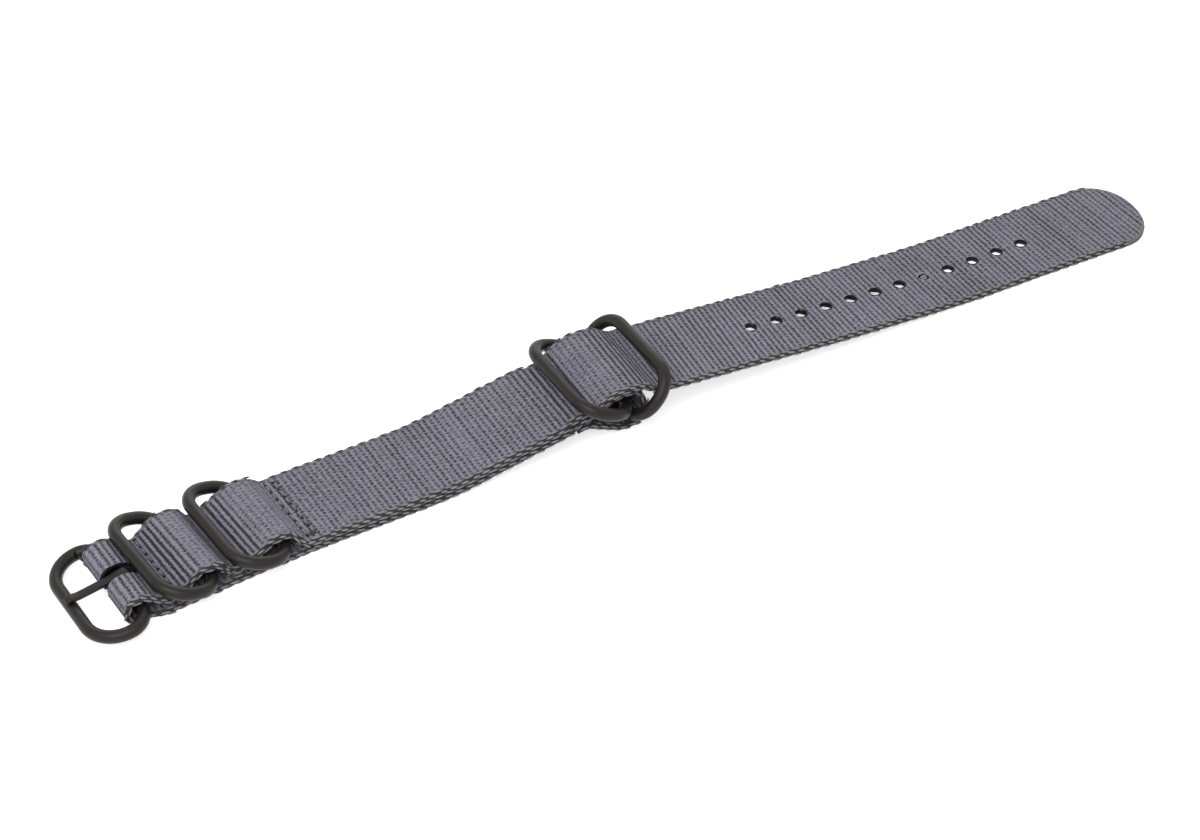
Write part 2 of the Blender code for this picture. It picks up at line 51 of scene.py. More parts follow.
# The strap's own line, as the CAD part lays it
STRAP_SHIFT = (-0.1285049, 0.0014138)
STRAP_THICKNESS = 1.3 * MM
HALF_THICKNESS = STRAP_THICKNESS / 2
HALF_WIDTH = 11.0 * MM
CLEARANCE = 0.3 * MM
LAYER_PITCH = STRAP_THICKNESS + CLEARANCE
LOWER_Z = HALF_THICKNESS
UPPER_Z = LOWER_Z + LAYER_PITCH
WIRE_RADIUS = 1.35 * MM
BAR_Z = STRAP_THICKNESS + CLEARANCE + WIRE_RADIUS
HARDWARE_WIDTH = 26.2 * MM
RING_LENGTH = 11.8 * MM
RING_CORNER = 5.5 * MM
PIN_X = 12.1 * MM
KEEPER_1_X = 27.2 * MM
KEEPER_2_X = 43.6 * MM
KEEPER_1_LEAN = math.radians(16.5)
KEEPER_2_LEAN = math.radians(14.5)
HEAD_LEFT_BAR = (121.9 * MM, 6.1 * MM)
HEAD_RIGHT_BAR = (122.9 * MM, 3.1 * MM)
HEAD_LEFT_LEAN = math.radians(23.0)
HEAD_RIGHT_LEAN = math.radians(48.0)
RISE_START_X = 80.9 * MM
RISE_START_RADIUS = 80.0 * MM
RISE_END = (111.8 * MM, 7.6 * MM)
RISE_END_RADIUS = 20.0 * MM
CREST_AHEAD = 3.2 * MM
CREST_RADIUS = 9.0 * MM
TIP_X = 257.0 * MM
TIP_END_X = TIP_X - 0.02 * MM
TIP_ROUND = 10.0 * MM

# The weave
RIB_PITCH = 1.24 * MM
RIB_SAMPLES = 8
WARP_PITCH = 1.0 * MM
LACE_PITCH = 2 * RIB_PITCH
LACE_END_X = TIP_X - 7.0 * MM
STEP = 0.2 * MM


class Slot(Enum):
    """The record's material slots."""

    WEBBING = "webbing"
    STEEL = "dark_steel"
    THREAD = "thread"


class Body(Enum):
    """The CAD bodies that pieces ride on."""

    WEBBING = "webbing"
    BUCKLE = "buckle"
    TONGUE = "tongue"
    KEEPER_INNER = "keeper_inner"
    KEEPER_OUTER = "keeper_outer"
    HEAD_LEFT = "head_left"
    HEAD_RIGHT = "head_right"


class Side(Enum):
    """The two edges of the webbing."""

    NEAR = -1
    FAR = 1


class NodeGraph:
    """A node tree in the making, of a material or of geometry."""

    def __init__(self, tree: bpy.types.NodeTree) -> None:
        """Keeps the tree."""
        self.tree = tree

    def add(self, kind: str, inputs: dict[Any, Any] | None = None, **settings: Any) -> bpy.types.Node:
        """Adds a node.

        Args:
            kind: the node's type.
            inputs: what each input takes, a socket or a constant, by name or number.
            **settings: the node's own properties.

        Returns:
            The new node.
        """
        node = self.tree.nodes.new(kind)
        for name, value in settings.items():
            setattr(node, name, value)
        for key, value in (inputs or {}).items():
            self.feed(node.inputs[key], value)
        return node

    def feed(self, socket: bpy.types.NodeSocket, value: Any) -> None:
        """Links a socket to an input, or sets the input's constant.

        Args:
            socket: the input.
            value: the socket or the constant.
        """
        if isinstance(value, bpy.types.NodeSocket):
            self.tree.links.new(value, socket)
        else:
            socket.default_value = value

    def math(self, operation: str, *values: Any) -> bpy.types.NodeSocket:
        """The result of a Math node on up to three values."""
        return self.add("ShaderNodeMath", dict(enumerate(values)), operation=operation).outputs[0]

    def ramp(self, value: Any, low: float, high: float) -> bpy.types.NodeSocket:
        """A value mapped smoothly to 0 to 1.

        Args:
            value: the value.
            low: what becomes 0.
            high: what becomes 1.

        Returns:
            The mapped value.
        """
        inputs = {"Value": value, "From Min": low, "From Max": high}
        return self.add("ShaderNodeMapRange", inputs, interpolation_type="SMOOTHSTEP").outputs[0]

    def seen(self) -> bpy.types.NodeSocket:
        """Tells rays that end at the camera from the light on the object.

        Returns:
            1 for rays from the camera, straight or off metal or glass, and 0 for the rest.
        """
        path = self.add("ShaderNodeLightPath").outputs
        direct = self.math("MAXIMUM", path["Is Camera Ray"], path["Is Glossy Ray"])
        return self.math("MAXIMUM", direct, path["Is Transmission Ray"])


class MaterialGraph(NodeGraph):
    """A material's node tree, with its Principled shader."""

    def __init__(self, name: str) -> None:
        """Makes the material.

        Args:
            name: its name.
        """
        self.material = bpy.data.materials.new(name)
        self.material.use_nodes = True
        super().__init__(self.material.node_tree)
        self.shader = self.tree.nodes["Principled BSDF"]

    def attribute(self, name: str) -> bpy.types.NodeSocket:
        """The value of a mesh attribute."""
        return self.add("ShaderNodeAttribute", attribute_name=name).outputs["Fac"]

    def noise(self, scale: float, detail: float = 2.0) -> bpy.types.NodeSocket:
        """Noise about 0 in object space.

        Args:
            scale: how fine it is, in lumps to the metre.
            detail: how many finer layers it has.

        Returns:
            The noise.
        """
        coordinates = self.add("ShaderNodeTexCoord").outputs["Object"]
        inputs = {"Vector": coordinates, "Scale": scale, "Detail": detail}
        noise = self.add("ShaderNodeTexNoise", inputs)
        return self.math("SUBTRACT", noise.outputs["Fac"], 0.5)

    def surface(
        self, colour: Sequence[float], shade: bpy.types.NodeSocket, roughness: Any, specular: float
    ) -> None:
        """Sets the shader's main values.

        Args:
            colour: the full colour.
            shade: what the colour is multiplied by.
            roughness: how matt the surface is.
            specular: the specular level.
        """
        scaled = self.add("ShaderNodeVectorMath", {0: tuple(colour)}, operation="SCALE")
        self.feed(scaled.inputs["Scale"], shade)
        self.feed(self.shader.inputs["Base Color"], scaled.outputs[0])
        self.feed(self.shader.inputs["Roughness"], roughness)
        self.feed(self.shader.inputs["Specular IOR Level"], specular)

    def bump(self, height: bpy.types.NodeSocket, distance: float, strength: float) -> None:
        """Roughens the shader's surface by a height."""
        inputs = {"Height": height, "Distance": distance, "Strength": strength}
        self.feed(self.shader.inputs["Normal"], self.add("ShaderNodeBump", inputs).outputs[0])


@dataclass(frozen=True)
class WebbingFinish:
    """Ribbed woven nylon: painted shade in the grooves, lightened where warp yarns cross them, painted
    shade between the yarns on the ribs with a darker tone by region, and painted shade on the laced edge.
    """

    name: str = "ribbed_nylon"
    colour: tuple[float, float, float] = (0.315, 0.305, 0.370)
    groove_shade: float = 0.78
    groove_power: float = 1.3
    wander: float = 0.24
    wander_scale: float = 430.0
    stray: float = 1.3
    stray_scale: float = 700.0
    yarn_edge: tuple[float, float] = (0.08, 0.30)
    bridge: float = 0.52
    gap_and_tone_shade: float = 0.36
    edge_shade: float = 0.88
    fibre_shade: float = 1.3
    fibre_scale: float = 2300.0
    fibre_height: float = 1.2
    broad_shade: float = 0.30
    broad_scale: float = 60.0
    darkest: float = 0.12
    roughness: float = 0.85
    specular: float = 0.25
    bump_depth: float = 0.07 * MM
    bump_strength: float = 0.7

    def weave(self, graph: MaterialGraph) -> tuple[bpy.types.NodeSocket, bpy.types.NodeSocket]:
        """Reads the weave's own UV map.

        Args:
            graph: the material in the making.

        Returns:
            How deep in a groove each point lies, and how far between two warp yarns.
        """
        pattern = graph.add("ShaderNodeUVMap", uv_map="weave").outputs[0]
        split = graph.add("ShaderNodeSeparateXYZ", {0: pattern})
        along = graph.math("MULTIPLY_ADD", graph.noise(self.wander_scale), self.wander, split.outputs[0])
        wave = graph.math("ABSOLUTE", graph.math("SINE", graph.math("MULTIPLY", along, math.pi)))
        groove = graph.math("SUBTRACT", 1.0, graph.math("POWER", wave, self.groove_power))
        row = graph.math("FLOOR", graph.math("ADD", along, 0.5))
        across = graph.math("MULTIPLY_ADD", graph.noise(self.stray_scale), self.stray, split.outputs[1])
        shifted = graph.math("MULTIPLY_ADD", row, 0.5, across)
        gap = graph.math("ABSOLUTE", graph.math("SUBTRACT", graph.math("FRACT", shifted), 0.5))
        return groove, graph.ramp(gap, *self.yarn_edge)

    def build(self) -> bpy.types.Material:
        """Makes the material.

        Returns:
            The material.
        """
        graph = MaterialGraph(self.name)
        fibre, speck = graph.noise(self.fibre_scale, 4.0), graph.attribute("speck")
        groove, gap = self.weave(graph)
        # Painted shade in the grooves between the ribs, lightened where a warp yarn crosses over the
        # groove.
        held = graph.math("MULTIPLY", graph.math("SUBTRACT", 1.0, gap), speck)
        bridged = graph.math("MULTIPLY", groove, graph.math("MULTIPLY_ADD", held, -self.bridge, 1.0))
        groove = graph.math("MULTIPLY", bridged, graph.attribute("rib_gain"))
        # Painted shade between the warp yarns on the ribs, with a darker tone over the whole region.
        gap_and_tone = graph.math("MULTIPLY", graph.math("MULTIPLY_ADD", gap, 0.5, 0.5), speck)
        shade = graph.math("MULTIPLY_ADD", groove, -self.groove_shade, 1.0)
        shade = graph.math("MULTIPLY_ADD", gap_and_tone, -self.gap_and_tone_shade, shade)
        shade = graph.math("MULTIPLY_ADD", fibre, self.fibre_shade, shade)
        shade = graph.math("MULTIPLY_ADD", graph.noise(self.broad_scale), self.broad_shade, shade)
        # Painted shade on the laced edge, seen between the lacing's loops and in dashes where the ribs end.
        edge = graph.math("MULTIPLY_ADD", graph.attribute("edge"), -self.edge_shade, 1.0)
        shade = graph.math("MULTIPLY", graph.math("MAXIMUM", shade, self.darkest), edge)
        graph.surface(self.colour, shade, self.roughness, self.specular)
        lint = graph.math("MULTIPLY", fibre, self.fibre_height)
        graph.bump(graph.math("MULTIPLY_ADD", groove, -1.0, lint), self.bump_depth, self.bump_strength)
        return graph.material


@dataclass(frozen=True)
class YarnFinish:
    """A yarn or a thread with a fine lay of fibres, darkened where its pieces say: painted shade where
    loops and stitches sink in, along their flanks and on the lacing's hidden side, and plainer darkening on
    the loose thread and the tip's band.
    """

    name: str
    colour: tuple[float, float, float]
    darkening_depth: float = 0.82
    fibre_shade: float = 0.6
    fibre_scale: float = 3400.0
    darkest: float = 0.05
    roughness: float = 0.75
    specular: float = 0.3
    bump_depth: float = 0.05 * MM
    bump_strength: float = 0.6

    def build(self) -> bpy.types.Material:
        """Makes the material.

        Returns:
            The material.
        """
        graph = MaterialGraph(self.name)
        fibre = graph.noise(self.fibre_scale, 3.0)
        # Takes colour away by the darkening attribute: painted shade on the lacing and stitches, plainer
        # darkening on the loose thread and the tip's band.
        shade = graph.math("MULTIPLY_ADD", graph.attribute("tuck"), -self.darkening_depth, 1.0)
        shade = graph.math("MULTIPLY_ADD", fibre, self.fibre_shade, shade)
        shade = graph.math("MAXIMUM", shade, self.darkest)
        graph.surface(self.colour, shade, self.roughness, self.specular)
        graph.bump(fibre, self.bump_depth, self.bump_strength)
        return graph.material


@dataclass(frozen=True)
class SteelFinish:
    """Dark coated steel, satin, with faint mottling and a fine tooth."""

    name: str = "dark_coated_steel"
    colour: tuple[float, float, float] = (0.0175, 0.0135, 0.0125)
    specular: float = 0.27
    roughness: float = 0.38
    mottle: float = 0.25
    mottle_scale: float = 320.0
    tooth_scale: float = 5200.0
    bump_depth: float = 0.02 * MM
    bump_strength: float = 0.35

    def build(self) -> bpy.types.Material:
        """Makes the material.

        Returns:
            The material.
        """
        graph = MaterialGraph(self.name)
        mottle = graph.noise(self.mottle_scale, 4.0)
        shade = graph.math("MULTIPLY_ADD", mottle, self.mottle, 1.0)
        rough = graph.math("MULTIPLY_ADD", mottle, self.mottle, self.roughness)
        graph.surface(self.colour, shade, rough, self.specular)
        graph.bump(graph.noise(self.tooth_scale), self.bump_depth, self.bump_strength)
        return graph.material


@dataclass(frozen=True)
class CutFinish:
    """Webbing melted by the hot punch, lumpy; its near-black colour is partly the melt and partly painted
    shade on the walls of the holes and slot and on the holes' lips.
    """

    name: str = "melted_cut"
    colour: tuple[float, float, float] = (0.012, 0.011, 0.015)
    roughness: float = 0.5
    specular: float = 0.12
    lump_scale: float = 1500.0
    lump_shade: float = 1.2
    bump_depth: float = 0.08 * MM
    bump_strength: float = 0.8

    def build(self) -> bpy.types.Material:
        """Makes the material.

        Returns:
            The material.
        """
        graph = MaterialGraph(self.name)
        lumps = graph.noise(self.lump_scale, 3.0)
        shade = graph.math("MULTIPLY_ADD", lumps, self.lump_shade, 1.0)
        graph.surface(self.colour, shade, self.roughness, self.specular)
        graph.bump(lumps, self.bump_depth, self.bump_strength)
        return graph.material


@dataclass(frozen=True)
class FloorFinish:
    """A plain pale table, with a tooth too fine to see."""

    name: str = "pale_table"
    colour: tuple[float, float, float] = (0.93, 0.93, 0.93)
    glow: float = 0.65
    grain: float = 0.01
    grain_scale: float = 900.0
    roughness: float = 0.9
    specular: float = 0.1

    def build(self) -> bpy.types.Material:
        """Makes the material, which the camera and the steel see lit from below, as on a light table.

        Returns:
            The material.
        """
        graph = MaterialGraph(self.name)
        graph.feed(graph.shader.inputs["Emission Color"], (1.0, 1.0, 1.0, 1.0))
        strength = graph.math("MULTIPLY", graph.seen(), self.glow)
        graph.feed(graph.shader.inputs["Emission Strength"], strength)
        shade = graph.math("MULTIPLY_ADD", graph.noise(self.grain_scale), self.grain, 1.0)
        graph.surface(self.colour, shade, self.roughness, self.specular)
        return graph.material


@dataclass
class Finishes:
    """Every material of the strap, made once."""

    webbing: bpy.types.Material = field(default_factory=lambda: WebbingFinish().build())
    lace: bpy.types.Material = field(
        default_factory=lambda: YarnFinish("edge_yarn", (0.330, 0.332, 0.335)).build()
    )
    thread: bpy.types.Material = field(
        default_factory=lambda: YarnFinish("sewing_thread", (0.255, 0.250, 0.290)).build()
    )
    # Near black: painted shade in the needle holes.
    pit: bpy.types.Material = field(
        default_factory=lambda: YarnFinish("needle_pit", (0.010, 0.010, 0.016)).build()
    )
    melt: bpy.types.Material = field(
        default_factory=lambda: YarnFinish("melted_tip", (0.225, 0.226, 0.215)).build()
    )
    steel: bpy.types.Material = field(default_factory=lambda: SteelFinish().build())
    cut: bpy.types.Material = field(default_factory=lambda: CutFinish().build())


class GeometryGraph(NodeGraph):
    """A geometry node tree with named inputs."""

    def __init__(self, name: str, sockets: dict[str, str]) -> None:
        """Makes the tree.

        Args:
            name: the tree's name.
            sockets: the type of each input after the geometry, by name.
        """
        super().__init__(bpy.data.node_groups.new(name, "GeometryNodeTree"))
        face = self.tree.interface
        face.new_socket("Geometry", in_out="INPUT", socket_type="NodeSocketGeometry")
        for socket, kind in sockets.items():
            face.new_socket(socket, in_out="INPUT", socket_type=kind)
        face.new_socket("Geometry", in_out="OUTPUT", socket_type="NodeSocketGeometry")
        self.given = self.add("NodeGroupInput")

    def read(self, name: str, kind: str = "FLOAT") -> bpy.types.NodeSocket:
        """Reads a named attribute of the geometry.

        Args:
            name: the attribute's name.
            kind: its type.

        Returns:
            Its value.
        """
        node = self.add("GeometryNodeInputNamedAttribute", data_type=kind)
        node.inputs["Name"].default_value = name
        return next(out for out in node.outputs if out.enabled and out.name == "Attribute")

    def close(self, geometry: bpy.types.NodeSocket) -> None:
        """Realizes instances, sets the material and ends the tree.

        Args:
            geometry: what the tree has made.
        """
        real = self.add("GeometryNodeRealizeInstances", {"Geometry": geometry})
        inputs = {"Geometry": real.outputs[0], "Material": self.given.outputs["Finish"]}
        dressed = self.add("GeometryNodeSetMaterial", inputs)
        self.add("NodeGroupOutput", {"Geometry": dressed.outputs[0]})

    def bake(self, source: bpy.types.Object, name: str, **inputs: Any) -> bpy.types.Object:
        """Runs the tree on an object and keeps the result as a plain mesh.

        Args:
            source: the object, which is removed.
            name: the new object's name.
            **inputs: the tree's inputs.

        Returns:
            The new object.
        """
        modifier = source.modifiers.new("tree", "NODES")
        modifier.node_group = self.tree
        for item in self.tree.interface.items_tree:
            if item.in_out == "INPUT" and item.name in inputs:
                modifier[item.identifier] = inputs[item.name]
        graph = bpy.context.evaluated_depsgraph_get()
        held = source.evaluated_get(graph)
        mesh = bpy.data.meshes.new_from_object(held, preserve_all_data_layers=True, depsgraph=graph)
        source.modifiers.remove(modifier)
        bpy.data.objects.remove(source)
        return place(name, mesh)


def place(name: str, mesh: bpy.types.Mesh) -> bpy.types.Object:
    """Links a mesh to the scene.

    Args:
        name: the object's and the mesh's name.
        mesh: the mesh.

    Returns:
        The object, at the origin.
    """
    mesh.name = name
    made = bpy.data.objects.new(name, mesh)
    bpy.context.scene.collection.objects.link(made)
    return made


def settle(piece: bpy.types.Object) -> None:
    """Turns a piece's faces outward and shades it smooth.

    Args:
        piece: the piece.
    """
    mesh_data = bmesh.new()
    mesh_data.from_mesh(piece.data)
    bmesh.ops.recalc_face_normals(mesh_data, faces=mesh_data.faces)
    mesh_data.to_mesh(piece.data)
    mesh_data.free()
    piece.data.shade_smooth()


def give(mesh: bpy.types.Mesh, name: str, kind: str, values: np.ndarray) -> None:
    """Stores one value or vector for each vertex of a mesh."""
    attribute = mesh.attributes.new(name, kind, "POINT")
    attribute.data.foreach_set("vector" if kind == "FLOAT_VECTOR" else "value", np.ravel(values))


def circle(count: int, full: float = math.tau) -> list[float]:
    """Evenly spaced angles from 0, the last one short of the full turn."""
    return [full * step / count for step in range(count)]


class Shape:
    """Tubes gathered into one mesh, with how far each of their points is darkened."""

    def __init__(self) -> None:
        """Starts empty."""
        self.points: list[tuple[float, float, float]] = []
        self.faces: list[tuple[int, ...]] = []
        self.darkness: list[float] = []

    def add(self, rings: Any, closed: bool = False, darkened: Any = 0.0) -> None:
        """Adds a tube, with end caps where it is open.

        Args:
            rings: points by ring, by place round it, by axis.
            closed: whether the last ring joins the first.
            darkened: how far each point is darkened, or all of them.
        """
        rings = np.array(rings)
        base, (count, around) = len(self.points), rings.shape[:2]
        for ring in range(count if closed else count - 1):
            here, there = base + ring * around, base + (ring + 1) % count * around
            for side in range(around):
                after = (side + 1) % around
                self.faces.append((here + side, here + after, there + after, there + side))
        self.points.extend(tuple(point) for point in rings.reshape(-1, 3))
        if not closed:
            self.faces.append(tuple(range(base, base + around))[::-1])
            self.faces.append(tuple(range(len(self.points) - around, len(self.points))))
        self.darkness.extend(np.broadcast_to(darkened, count * around))

    def build(self, name: str, finish: bpy.types.Material | None = None) -> bpy.types.Object:
        """Makes the mesh.

        Args:
            name: the object's name.
            finish: its material, where a tree doesn't give it one.

        Returns:
            The object.
        """
        mesh = bpy.data.meshes.new(name)
        mesh.from_pydata(self.points, [], self.faces)
        if any(self.darkness):
            give(mesh, "tuck", "FLOAT", np.array(self.darkness))
        made = place(name, mesh)
        if finish:
            mesh.materials.append(finish)
            settle(made)
        return made


def smooth_step(share: float) -> float:
    """A share eased at both ends of 0 to 1."""
    held = min(max(share, 0.0), 1.0)
    return held * held * (3 - 2 * held)


@dataclass(frozen=True)
class Lie:
    """How the strap lies on the table, seen from above."""

    bend_end: float = 53.8 * MM
    bend_length: float = 52.0 * MM
    bend_offset: float = 3.5 * MM
    bend_power: float = 1.5
    drift_start: float = 193.8 * MM
    drift_offset: float = 1.5 * MM
    buckle_turn: float = math.radians(4.2)

    def bend(self, x: float) -> tuple[float, float]:
        """How the strap bends at x.

        Args:
            x: the place along the strap.

        Returns:
            How far to the side the middle line lies there, and its slope.
        """
        if x < self.bend_end:
            share = (self.bend_end - x) / self.bend_length
            slope = self.bend_offset * self.bend_power * share ** (self.bend_power - 1) / self.bend_length
            return -self.bend_offset * share**self.bend_power, slope
        if x > self.drift_start:
            length = TIP_X - self.drift_start
            share = (x - self.drift_start) / length
            return -self.drift_offset * share**2, -2 * self.drift_offset * share / length
        return 0.0, 0.0

    def turn(self, x: float) -> float:
        """How far the weft is turned at x."""
        skew = self.buckle_turn * smooth_step((KEEPER_1_X - x) / (KEEPER_1_X - PIN_X))
        return math.atan(self.bend(x)[1]) - skew

    def at(self, x: float, y: float, z: float) -> Vector:
        """Where a point of the straight strap lies in the shared frame.

        Args:
            x: its place along the strap.
            y: its place across it.
            z: its height.

        Returns:
            The point.
        """
        turn = self.turn(x)
        side = self.bend(x)[0]
        across = Vector((x - y * math.sin(turn), side + y * math.cos(turn), z))
        return across + Vector((*STRAP_SHIFT, 0.0))


LIE = Lie()


@dataclass(frozen=True)
class Squeeze:
    """How rings narrow the webbing that runs through them."""

    depth: float = 1.0 * MM
    run: float = 1.5 * MM
    fade: float = 3.0 * MM
    tip_power: float = 2.2

    def half(self, x: float, spans: Sequence[tuple[float, float]]) -> float:
        """Half the webbing's width, rounded off at the tip.

        Args:
            x: the place along the strap.
            spans: the stretches that rings squeeze.

        Returns:
            The half width there.
        """
        share = (x - (TIP_X - TIP_ROUND)) / TIP_ROUND
        if share > 0:
            return HALF_WIDTH * (1 - min(share, 1.0) ** self.tip_power) ** (1 / self.tip_power)
        most = max(smooth_step(1 - max(low - x, x - high) / self.fade) for low, high in spans)
        return HALF_WIDTH - self.depth * most

    def reach(self) -> float:
        """How far a ring's corners reach in from its captured bar.

        Returns:
            The reach beside the squeezed webbing.
        """
        beside = HALF_WIDTH - self.depth - (HARDWARE_WIDTH / 2 - RING_CORNER)
        inner = RING_CORNER - WIRE_RADIUS
        return RING_CORNER - math.sqrt(inner**2 - beside**2)

    def over_ring(self, bar_z: float, lean: float) -> float:
        """Height of the webbing's middle where it crosses over a ring's corners."""
        top = bar_z + self.reach() * math.sin(lean) + WIRE_RADIUS / math.cos(lean)
        return top + CLEARANCE + HALF_THICKNESS


SQUEEZE = Squeeze()


def raised(normal: Sequence[float], x: float) -> Vector:
    """A normal of the strap's line at x, turned with the weft."""
    turn = LIE.turn(x)
    return Vector((normal[0] * math.cos(turn), normal[0] * math.sin(turn), normal[1]))


def rounded(corners: Sequence[tuple[float, float, float]], step: float) -> np.ndarray:
    """An even row of points along straight runs between corners, turned by arcs.

    Args:
        corners: x, z and the arc's radius of each corner.
        step: about how far apart the points are.

    Returns:
        The points, x and z.
    """
    turned = [Vector(corners[0][:2])]
    for before, corner, after in zip(corners, corners[1:], corners[2:]):
        here = Vector(corner[:2])
        back = Vector(before[:2]) - here
        ahead = Vector(after[:2]) - here
        half_angle = back.angle(ahead) / 2
        reach = min(corner[2] / math.tan(half_angle), min(back.length, ahead.length) / 2)
        radius = reach * math.tan(half_angle)
        middle = (back.normalized() + ahead.normalized()).normalized()
        centre = here + middle * (radius / math.sin(half_angle))
        start = here + back.normalized() * reach - centre
        sweep = math.pi - 2 * half_angle
        way = 1 if back.x * ahead.y - back.y * ahead.x < 0 else -1
        steps = max(4, math.ceil(sweep / math.radians(3)))
        for index in range(steps + 1):
            angle = way * sweep * index / steps
            cosine, sine = math.cos(angle), math.sin(angle)
            spoke = (start.x * cosine - start.y * sine, start.x * sine + start.y * cosine)
            turned.append(centre + Vector(spoke))
    turned.append(Vector(corners[-1][:2]))
    points = np.array([tuple(point) for point in turned])
    run = np.concatenate([[0.0], np.cumsum(np.linalg.norm(np.diff(points, axis=0), axis=1))])
    even = np.linspace(0.0, run[-1], max(2, round(run[-1] / step)) + 1)
    return np.stack([np.interp(even, run, points[:, axis]) for axis in (0, 1)], axis=1)


def rounded_box(low: float, high: float, half: float, corner: float) -> list[tuple[float, float]]:
    """A rectangle's outline with rounded corners.

    Args:
        low: its lowest x.
        high: its highest x.
        half: half its width in y.
        corner: the corners' radius.

    Returns:
        Its points.
    """
    middle, points = (low + high) / 2, []
    for x, y, quarter in ((high, half, 0), (low, half, 1), (low, -half, 2), (high, -half, 3)):
        turn_x, turn_y = x - math.copysign(corner, x - middle), y - math.copysign(corner, y)
        for step in range(4):
            angle = math.pi / 2 * (quarter + step / 3)
            points.append((turn_x + corner * math.cos(angle), turn_y + corner * math.sin(angle)))
    return points


class Regions:
    """How strongly the weave shows along a run of webbing: table rows of x, rib depth, and strength of the
    painted yarn-gap shade and darker tone.
    """

    def __init__(self, rows: Sequence[tuple[float, float, float]]) -> None:
        """Keeps the table, whose x is in millimetres."""
        self.table = np.array(rows)

    def at(self, x: np.ndarray) -> tuple[np.ndarray, np.ndarray]:
        """Rib depth, and strength of the painted yarn-gap shade and darker tone, at each x."""
        places = self.table[:, 0] * MM
        return np.interp(x, places, self.table[:, 1]), np.interp(x, places, self.table[:, 2])


@dataclass(frozen=True)
class WovenPoint:
    """A point of the webbing's skin, its way out, and how the weave shows there."""

    at: Vector
    out: Vector
    rib_phase: float
    rib_gain: float
    speck: float
    edge: float
    warp: float


